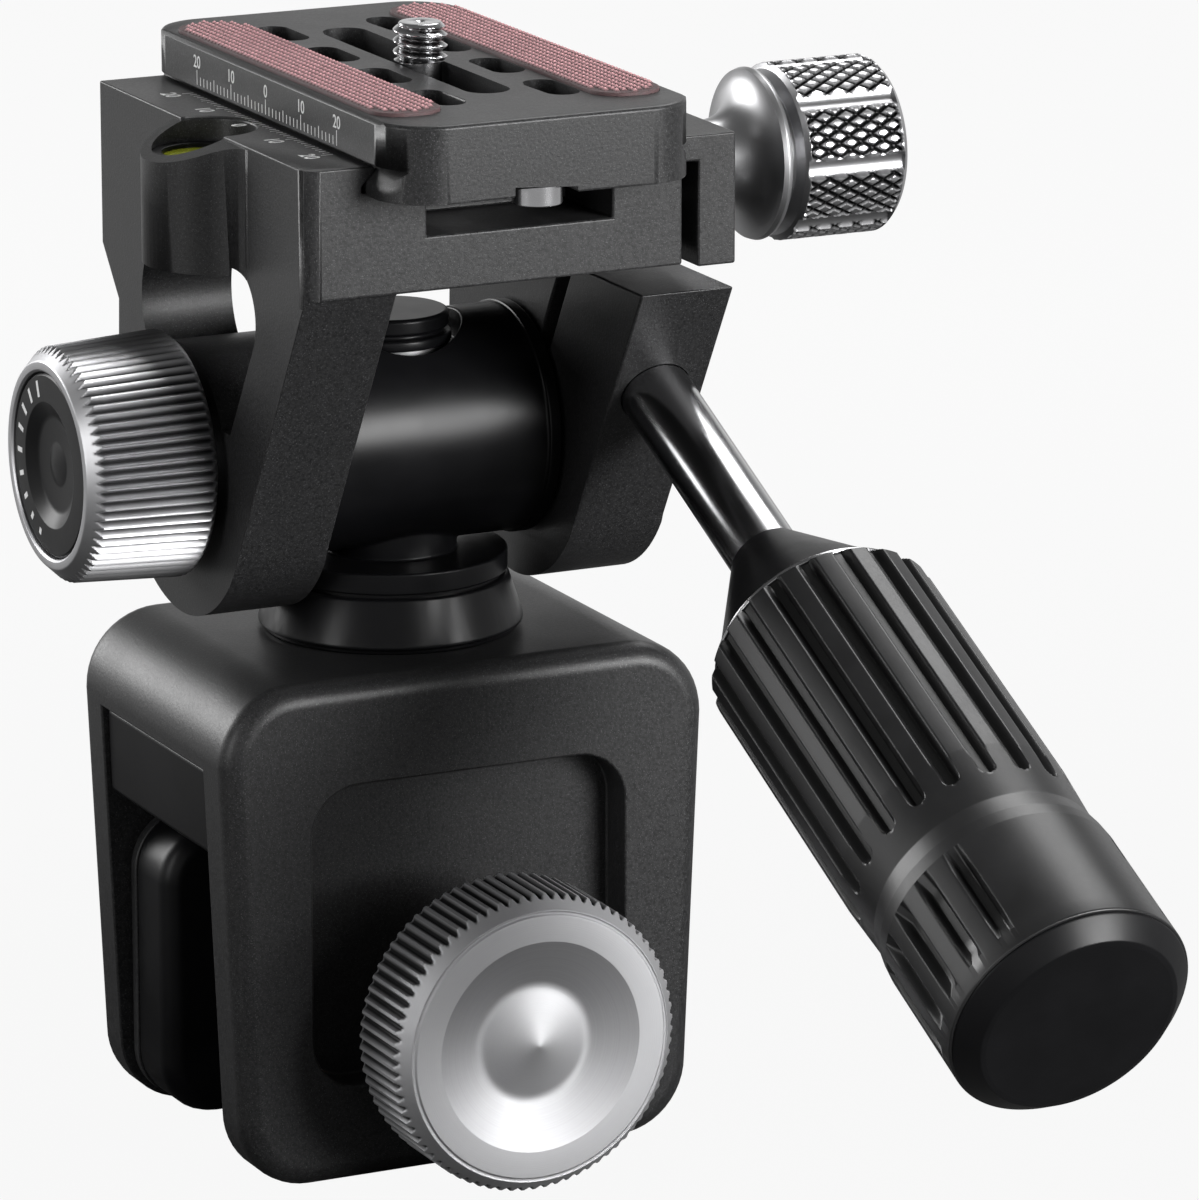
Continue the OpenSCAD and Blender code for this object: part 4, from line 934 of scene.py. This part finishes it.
class MOUNT_OT_friction_knob(MountPiece, bpy.types.Operator):
    """Knurled friction knob and its marked dial"""

    bl_idname = "mount.friction_knob"
    bl_label = "Friction knob"

    front_r, chamfer = 13.8, 1.8
    tooth_depth, tooth_share = 0.80, 0.98
    dial_r = 10.85
    marks = {"count": 9, "radius": 9.0 * MM, "from_angle": math.radians(20), "step": math.radians(17.5),
             "length": 0.8 * MM, "growth": 0.14 * MM, "stroke": 0.6 * MM, "height": 0.04 * MM}

    def build(self):
        teeth = detail().friction_teeth
        centre, front, back, r = node_axis("friction_knob", "X")
        outline = rounded([
            (0, front + 2.4, 0), (10.8, front + 2.4, 0), (10.95, front + 0.25, 0.1), (11.2, front, 0.15),
            (12.1, front, 0.3), (self.front_r, front + self.chamfer, 0.3), (r, back - 0.8, 0.2),
            (r - 0.8, back, 0.2), (5.2, back, 0)], 3)
        outline = resampled(outline, 0.15, front + 0.1, front + 2.6)
        outline = resampled(outline, 1.2, front + 2.6, back - 1.0)
        outline = resampled(outline, 0.2, back - 1.0, back - 0.05)
        outline.append(Vector((0, back)))
        mesh = turned("friction_knob", outline, teeth * 8)
        taper = (r - self.front_r) / (back - front - 2.6)
        mesh = grooved(mesh, "friction_knob", "friction_silver", count=teeth, taper=taper,
                       outer_radius=(self.front_r - taper * (front + self.chamfer)) * MM,
                       half_width=math.pi * r / teeth * self.tooth_share * MM, depth=self.tooth_depth * MM,
                       softness=1.0)
        dressed("friction_knob", mesh, "friction_silver", 30, on_x(centre))
        self.dial(centre)

    def dial(self, centre):
        low, high = (corner.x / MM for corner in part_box("friction_dial"))
        mesh = turned("friction_dial", rounded([
            (0, low + 0.6, 0), (2.6, low + 1.15, 1.2), (5.6, low + 1.0, 1.6), (7.4, low, 0.4),
            (10.5, low, 0.2), (self.dial_r, low + 0.3, 0.1), (self.dial_r, high, 0), (0, high, 0)], 6), 96)
        dressed("friction_dial", mesh, "black_plastic", 30, on_x(centre))
        marks = grown("dial_marks", dial_tree(), "scale_print", **self.marks)
        marks.transform(on_x(centre) @ Matrix.Translation((0, 0, low * MM)))
        piece("dial_marks", marks, "friction_knob", "scale_print")


class MOUNT_OT_jaw_knob(MountPiece, bpy.types.Operator):
    """Jaw knob with a trumpet neck, smooth flutes and diamond knurl"""

    bl_idname = "mount.jaw_knob"
    bl_label = "Jaw knob"

    flutes, flute_radius, flute_depth = 8, 1.6, 0.7
    first = math.radians(182)
    lip_back, gap = 15.3, 1.4
    neck_r, lip_r, gap_r = 4.5, 10.1, 7.8
    flare, flare_start, flare_steps = 5.6, 6.8, 12
    knurl_slope = 0.58

    def flute(self, angle, radius, height):
        """Radius of the head where the flutes are cut."""
        low, high = self.head
        if not low <= height <= high:
            return radius
        step = 2 * math.pi / self.flutes
        side = (angle - self.first + step / 2) % step - step / 2
        reach = self.r + self.flute_radius - self.flute_depth
        across = reach * math.sin(side)
        if abs(across) >= self.flute_radius:
            return radius
        return min(radius, reach * math.cos(side) - math.sqrt(self.flute_radius ** 2 - across ** 2))

    def build(self):
        centre, start, end, self.r = node_axis("jaw_knob", "X")
        centre.z = axis_point("jaw_knob_turn").z
        lip_x = end - self.lip_back
        head_x = lip_x + self.gap
        self.head = head_x + 0.6, end - 0.7
        neck_end = lip_x - self.flare_start
        trumpet = [(self.neck_r, start, 0), (self.neck_r, neck_end, 0)]
        for k in range(1, self.flare_steps + 1):
            a = math.pi / 2 * k / self.flare_steps
            trumpet.append((self.lip_r - self.flare * math.cos(a), neck_end + self.flare * math.sin(a), 0))
        outline = rounded([(0, start, 0)] + trumpet + [
            (10.3, lip_x - 0.6, 0.3), (self.lip_r, lip_x, 0.2), (self.gap_r, lip_x + 0.05, 0.1),
            (self.gap_r, head_x + 0.2, 0.1), (9.9, head_x + 0.3, 0.1), (self.r, head_x + 0.8, 0.2),
            (self.r, end - 0.8, 0.2), (self.r - 0.8, end, 0.3), (8.2, end, 0.1), (7.9, end - 0.25, 0.1),
            (0, end - 0.25, 0)], 3)
        outline = resampled(outline, 0.16, head_x + 0.1, end - 0.1)
        cuts = detail().jaw_knurl
        mesh = turned("jaw_knob", outline, cuts * 12, self.flute)
        helix = self.knurl_slope * cuts / (2 * math.pi * self.r * MM)
        for hand in (1, -1):
            mesh = grooved(mesh, "jaw_knob", "jaw_chrome", count=cuts,
                           turns_per_metre=hand * helix, outer_radius=self.r * MM, half_width=0.38 * MM,
                           depth=0.45 * MM, softness=0.75, start=(head_x + 1.1) * MM,
                           stop=(end - 1.2) * MM)
        dressed("jaw_knob", mesh, "jaw_chrome", 30, on_x(centre))


class MOUNT_OT_handle(MountPiece, bpy.types.Operator):
    """Rod, cone, ribbed grip and end cap"""

    bl_idname = "mount.handle"
    bl_label = "Handle"

    collar, grip, end, top, face = 31.6, 46.8, 91.8, 109.8, 112.2
    rod_r, rod_thread_r, rod_start = 4.2, 3.0, -21.9
    cone_r, front_r, back_r = 12.75, 13.9, 14.1
    ring_seat, ring_r = 12.6, 12.95
    skipped = 4
    bare_side = math.radians(86)
    groove_depth, groove_share = 1.15, 0.92
    smooth = 35

    def build(self):
        grip, rod_end = self.grip, self.grip + 14
        parts = (
            ("handle_rod", "rod_chrome", turned("handle_rod", rounded([
                (0, self.rod_start, 0), (2.7, self.rod_start, 0),
                (self.rod_thread_r, self.rod_start + 0.3, 0), (self.rod_thread_r, -0.5, 0),
                (self.rod_r, -0.5, 0.2), (self.rod_r, rod_end, 0.2), (0, rod_end, 0)]), 96)),
            ("grip_collar", "black_plastic", turned("grip_collar", rounded([
                (0, self.collar, 0), (self.rod_r, self.collar, 0), (4.45, self.collar, 0.15),
                (4.6, self.collar + 0.3, 0.2), (12.4, grip - 0.95, 0.3), (self.cone_r, grip - 0.6, 0.15),
                (self.cone_r, grip, 0), (0, grip, 0)]), 128)),
            ("grip", "black_rubber", self.grip_mesh()),
            ("grip_end_cap", "black_plastic", turned("grip_end_cap", rounded([
                (0, self.top, 0), (14.0, self.top, 0.2), (11.6, self.face - 0.1, 0.5), (11.0, self.face, 0.2),
                (0, self.face, 0)], 5), 128)),
        )
        place = Matrix.Translation(axis_point("handle_twist")) @ Matrix.Rotation(HANDLE_LEAN, 4, "X")
        for node, material, mesh in parts:
            dressed(node, mesh, material, self.smooth, place)
        ring = turned("grip_ring", rounded([
            (self.ring_seat, grip - 0.75, 0), (self.ring_r, grip - 0.7, 0.1), (self.ring_r, grip - 0.2, 0.1),
            (self.ring_seat, grip - 0.15, 0), (self.ring_seat, grip - 0.75, 0)]), 128)
        ring.transform(place)
        piece("grip_ring", ring, "handle", "rod_chrome", (), self.smooth)

    def grip_mesh(self):
        """The grip with long grooves, and short ones that leave one side bare."""
        count = detail().groove_count
        half = detail().groove_width / 2
        long_end = self.end - 5.6 - half / MM
        short_start = self.end + 3 + half / MM
        short_end = self.top - 2.4 - half / MM
        outline = rounded([
            (0, self.grip, 0), (13.3, self.grip, 0.1), (self.front_r, self.grip + 0.6, 0.4),
            (self.front_r, self.end - 10, 6.0), (13.5, self.end - 2.2, 1.2), (13.95, self.end + 0.3, 0.8),
            (self.back_r, self.end + 2, 0.8), (self.back_r, self.top, 0.3), (0, self.top, 0)], 6)
        for low, high in ((self.grip, self.grip + 2), (long_end - 1, long_end + 3),
                          (short_start - 3, short_start + 1), (short_end - 1, short_end + 3)):
            outline = resampled(outline, 0.25, low, high)
        mesh = turned("grip", resampled(outline, 2.0), count * 36)
        shared = {"count": count, "half_width": half * self.groove_share, "softness": 0.60, "round": 1.0,
                  "depth": self.groove_depth * MM,
                  "first_angle": self.bare_side + (self.skipped + 1) / 2 * (2 * math.pi / count)}
        mesh = grooved(mesh, "grip", "black_rubber", outer_radius=self.front_r * MM,
                       stop=long_end * MM, **shared)
        return grooved(mesh, "grip", "black_rubber", kept=count - self.skipped, outer_radius=self.back_r * MM,
                       start=short_start * MM, stop=short_end * MM, **shared)


class MOUNT_OT_plate_fittings(MountPiece, bpy.types.Operator):
    """Rubber strips with bumps, the camera screw and the millimetre scales"""

    bl_idname = "mount.plate_fittings"
    bl_label = "Plate fittings"

    strip_width, strip_corner = 8.5 * MM, 3.2 * MM
    edge_share, bump_share, bump_height = 0.6, 0.60, 0.36 * MM
    thread_r, neck_r, head_r, head_height, thread_length = 3.175, 2.5, 4.7, 2.2, 4.5
    scale_zero, scale_reach = -8.35 * MM, 20
    proud = 0.01 * MM

    def build(self):
        self.strips()
        self.camera_screw()
        low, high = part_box("quick_plate")
        lying = Matrix.Rotation(-math.pi / 2, 4, "Z")
        upright = lying @ Matrix.Rotation(math.pi / 2, 4, "X")
        side = Vector((low.x - self.proud, self.scale_zero, high.z - 4.7 * MM))
        self.scale("plate_scale", "plate", (1.0, 1.35, 1.75), Matrix.Translation(side), (2.1, 0.015),
                   Matrix.Translation(side + Vector((0, 0, 2.0 * MM))) @ upright)
        rail = Vector((low.x - 0.5 * MM, self.scale_zero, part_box("jaw")[1].z + self.proud))
        self.scale("rail_scale", "yoke", (0.8, 1.1, 1.4),
                   Matrix.Translation(rail) @ Matrix.Rotation(-math.pi / 2, 4, "Y"), (2.6, 0.04),
                   Matrix.Translation(rail - Vector((3.7 * MM, 0, 0))) @ lying)

    def strips(self):
        # The strips' ground is painted dark as shade between the bumps.
        machined("grip_strips", "brick_base", 0.15 * MM)
        low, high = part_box("grip_strips")
        pitch = detail().bump_pitch
        inset = 2 * pitch * self.edge_share
        width, length = self.strip_width - inset, high.y - low.y - inset
        fields = []
        for x in (low.x + self.strip_width / 2, high.x - self.strip_width / 2):
            field = grown("strip_bumps", bump_tree(), "brick_rubber", width=width, length=length,
                          across=round(width / pitch) + 1, along=round(length / pitch) + 1,
                          corner=self.strip_corner, bump_radius=pitch * self.bump_share,
                          bump_height=self.bump_height)
            field.transform(Matrix.Translation((x, (low.y + high.y) / 2, high.z - self.proud)))
            fields.append(field)
        piece("strip_bumps", joined("strip_bumps", fields), "plate", "brick_rubber", (), 20)

    def camera_screw(self):
        low, high = (corner.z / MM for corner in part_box("camera_screw"))
        centre = axis_point("camera_screw_turn")
        centre.z = 0
        shoulder = high - self.thread_length
        outline = rounded([
            (0, low + 1.6, 0), (1.9, low + 1.6, 0), (2.0, low, 0.1), (self.head_r, low, 0.3),
            (self.head_r, low + self.head_height, 0.3), (self.neck_r, low + self.head_height, 0),
            (self.neck_r, shoulder, 0), (self.thread_r, shoulder, 0.1), (self.thread_r, high - 0.9, 0.2),
            (2.375, high, 0.3), (0.7, high, 0), (0, high - 0.25, 0)], 3)
        mesh = turned("camera_screw", resampled(outline, 0.1, shoulder + 0.1, high - 0.1), 72)
        mesh = grooved(mesh, "camera_screw", "screw_chrome", count=1,
                       turns_per_metre=1 / detail().camera_pitch, outer_radius=self.thread_r * MM,
                       half_width=8.8 * MM, depth=0.7 * MM, softness=0.85, end_scale=20.0,
                       start=(shoulder + 0.2) * MM)
        dressed("camera_screw", mesh, "screw_chrome", 40, Matrix.Translation(centre))

    def number(self, text, size, weight):
        """A number as a thin flat mesh."""
        curve = bpy.data.curves.new("number", "FONT")
        curve.body = text
        curve.size = size * MM
        curve.offset = weight * MM
        curve.align_x = "CENTER"
        curve.extrude = 0.01 * MM
        curve.resolution_u = 4
        holder = bpy.data.objects.new("number", curve)
        bpy.context.collection.objects.link(holder)
        return taken(holder, "number")

    def scale(self, name, body, lengths, marks_place, number_sizes, numbers_place):
        """Marks and numbers of one scale. Both places are those of its zero."""
        short, fifth, tenth = (length * MM for length in lengths)
        marks = grown("scale", scale_tree(), "scale_print", count=2 * self.scale_reach + 1,
                      pitch=detail().tick_pitch, short=short, fifth=fifth, tenth=tenth, stroke=0.16 * MM,
                      height=0.03 * MM)
        marks.transform(Matrix.Translation((0, -self.scale_reach * MM, 0)) @ marks_place)
        meshes = [marks]
        for n in range(-self.scale_reach, self.scale_reach + 1, 10):
            mesh = self.number(str(abs(n)), *number_sizes)
            mesh.transform(Matrix.Translation((0, n * MM, 0)) @ numbers_place)
            meshes.append(mesh)
        piece(name, joined(name, meshes), body, "scale_print")


class MOUNT_OT_level(MountPiece, bpy.types.Operator):
    """Round level with its domed glass and ring"""

    bl_idname = "mount.level"
    bl_label = "Level"

    dome = 0.35
    ring_width = 1.15

    def build(self):
        centre, base, top, r = node_axis("level_vial", "Z")
        place = Matrix.Translation(centre)
        vial = turned("level_vial", rounded([
            (0, base, 0), (r, base, 0.3), (r, top - 0.2, 0.2), (r - 0.6, top, 0.3),
            (0, top + self.dome, 0)], 6), 64)
        dressed("level_vial", vial, "level_fluid", 40, place)
        ring_base, ring_top = (corner.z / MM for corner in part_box("level_ring"))
        inner = r - self.ring_width
        ring = turned("level_ring", rounded([
            (r, ring_base, 0), (r, ring_top, 0.15), (inner, ring_top, 0.15), (inner, ring_base, 0),
            (r, ring_base, 0)], 4), 64)
        dressed("level_ring", ring, "black_plastic", 40, place)


class MOUNT_OT_stage(MountPiece, bpy.types.Operator):
    """Floor, world, lamps and camera"""

    bl_idname = "mount.stage"
    bl_label = "Stage"

    # Each lamp has its place, aim, width and height in metres, power in watts and spread in degrees.
    lamps = {
        "key_box": ((0.38, -0.76, 0.25), (0, -0.02, 0.06), 0.46, 0.36, 1.35, 50),
        "left_box": ((-1.0, -0.25, 0.30), (0, 0, 0.03), 0.20, 0.60, 1.3, 120),
        "top_box": ((0.45, 0.35, 0.80), (0, 0, 0.03), 0.50, 0.50, 5.0, 180),
        "back_box": ((-0.60, 0.95, 0.40), (0, 0.02, 0.02), 0.60, 0.60, 1.3, 60),
    }
    camera_place = (-0.3631, -0.8045, 0.2570)
    camera_aim = (0.4223, 0.8697, -0.2555)
    floor_half = 8
    # From floor_near to floor_far the floor is painted with shade round the object: nearer, its own colour is
    # dark and mirrors see little of its glow.
    floor_near, floor_far = 0.08, 0.45
    floor_tone, floor_cloud, floor_mirror, floor_glow = 0.30, 0.12, 0.40, 0.93
    sky_low, sky_high, sky_top = 0.05, 0.6, 0.15
    sky_mirror, sky_light = 0.9, 0.16

    def build(self):
        scene = bpy.context.scene
        scene.view_settings.view_transform = "Standard"
        self.floor()
        self.world(scene)
        for name, settings in self.lamps.items():
            self.lamp(name, *settings)
        camera = bpy.data.cameras.new("photo_camera")
        camera.lens = 231.0
        camera.sensor_width = 36.0
        camera.clip_start = 0.05
        camera.clip_end = 60.0
        scene.camera = self.placed("photo_camera", camera, self.camera_place, Vector(self.camera_aim))

    def placed(self, name, data, place, way):
        """An object at a place that looks along a direction."""
        made = bpy.data.objects.new(name, data)
        made.location = place
        made.rotation_euler = way.to_track_quat("-Z", "Y").to_euler()
        bpy.context.collection.objects.link(made)
        return made

    def floor(self):
        level, half = CAD_BOX[0][2], self.floor_half
        mesh = bpy.data.meshes.new("floor")
        corners = [(x * half, y * half, level) for x, y in ((-1, -1), (1, -1), (1, 1), (-1, 1))]
        mesh.from_pydata(corners, [], [(0, 1, 2, 3)])
        made = bpy.data.objects.new("floor", mesh)
        bpy.context.collection.objects.link(made)
        material = bpy.data.materials.new("pale_floor")
        material.use_nodes = True
        material.node_tree.nodes.clear()
        g = Graph(material.node_tree)
        place = g.add("ShaderNodeTexCoord").outputs["Object"]
        x, y = g.split(place)[:2]
        # Painted shade: close to the object the floor's colour is dark and its glow hardly shows in mirrors,
        # so the ground round the object's foot and its reflections in the object are darker.
        away = g.ramp(g.hypot(x, y), self.floor_near, self.floor_far)
        tone_with_shade = g.plus(g.times(away, self.floor_tone), g.times(g.noise(place, 3.0, 3.0), self.floor_cloud))
        diffuse = g.fill(g.add("ShaderNodeBsdfDiffuse"), Color=g.join(tone_with_shade, tone_with_shade, tone_with_shade))
        glow = g.add("ShaderNodeEmission")
        blend = g.add("ShaderNodeMixShader")
        g.feed(blend.inputs[0], g.times(self.seen(g, g.times(away, self.floor_mirror)), self.floor_glow))
        g.feed(blend.inputs[1], diffuse.outputs[0])
        g.feed(blend.inputs[2], glow.outputs[0])
        g.fill(g.add("ShaderNodeOutputMaterial"), Surface=blend.outputs[0])
        mesh.materials.append(material)

    def seen(self, g, mirrored):
        """Share of the bright ground that a ray shows: all in view and through glass, some in mirrors."""
        path = g.add("ShaderNodeLightPath").outputs
        seen = g.most(path["Is Camera Ray"], g.times(path["Is Glossy Ray"], mirrored))
        return g.most(seen, path["Is Transmission Ray"])

    def world(self, scene):
        world = bpy.data.worlds.new("studio")
        world.use_nodes = True
        world.node_tree.nodes.clear()
        g = Graph(world.node_tree)
        height = g.split(g.add("ShaderNodeTexCoord").outputs["Generated"])[2]
        bright = g.ramp(height, self.sky_low, self.sky_high, 1.0, self.sky_top, True)
        strength = g.ramp(self.seen(g, self.sky_mirror), 0.0, 1.0, self.sky_light, bright)
        soft = g.fill(g.add("ShaderNodeBackground"), Color=(1.0, 1.0, 1.0, 1.0), Strength=strength)
        g.fill(g.add("ShaderNodeOutputWorld"), Surface=soft.outputs[0])
        scene.world = world

    def lamp(self, name, place, aim, width, height, power, spread):
        data = bpy.data.lights.new(name, "AREA")
        data.shape = "RECTANGLE"
        data.size, data.size_y = width, height
        data.energy = power
        data.spread = math.radians(spread)
        self.placed(name, data, place, Vector(aim) - Vector(place))


OPERATORS = (
    MOUNT_OT_castings, MOUNT_OT_pads, MOUNT_OT_inner_parts, MOUNT_OT_clamp_knob, MOUNT_OT_friction_knob,
    MOUNT_OT_jaw_knob, MOUNT_OT_handle, MOUNT_OT_plate_fittings, MOUNT_OT_level, MOUNT_OT_stage)


class MOUNT_PT_panel(bpy.types.Panel):
    """Lists the pieces and their settings"""

    bl_idname = "MOUNT_PT_panel"
    bl_label = "Window mount head"
    bl_space_type = "VIEW_3D"
    bl_region_type = "UI"
    bl_category = "Mount"

    def draw(self, context):
        for operator in OPERATORS:
            self.layout.operator(operator.bl_idname)
        for group in (context.scene.mount_detail, context.scene.mount_finish):
            box = self.layout.box()
            for name in group.__annotations__:
                box.prop(group, name)


CLASSES = (MountFinish, MountDetail, *OPERATORS, MOUNT_PT_panel)


def register():
    for cls in CLASSES:
        bpy.utils.register_class(cls)
    bpy.types.Scene.mount_finish = PointerProperty(type=MountFinish)
    bpy.types.Scene.mount_detail = PointerProperty(type=MountDetail)


def unregister():
    del bpy.types.Scene.mount_detail
    del bpy.types.Scene.mount_finish
    for cls in reversed(CLASSES):
        bpy.utils.unregister_class(cls)


def main():
    register()
    for operator in OPERATORS:
        group, name = operator.bl_idname.split(".")
        getattr(getattr(bpy.ops, group), name)()


if __name__ == "__main__":
    main()
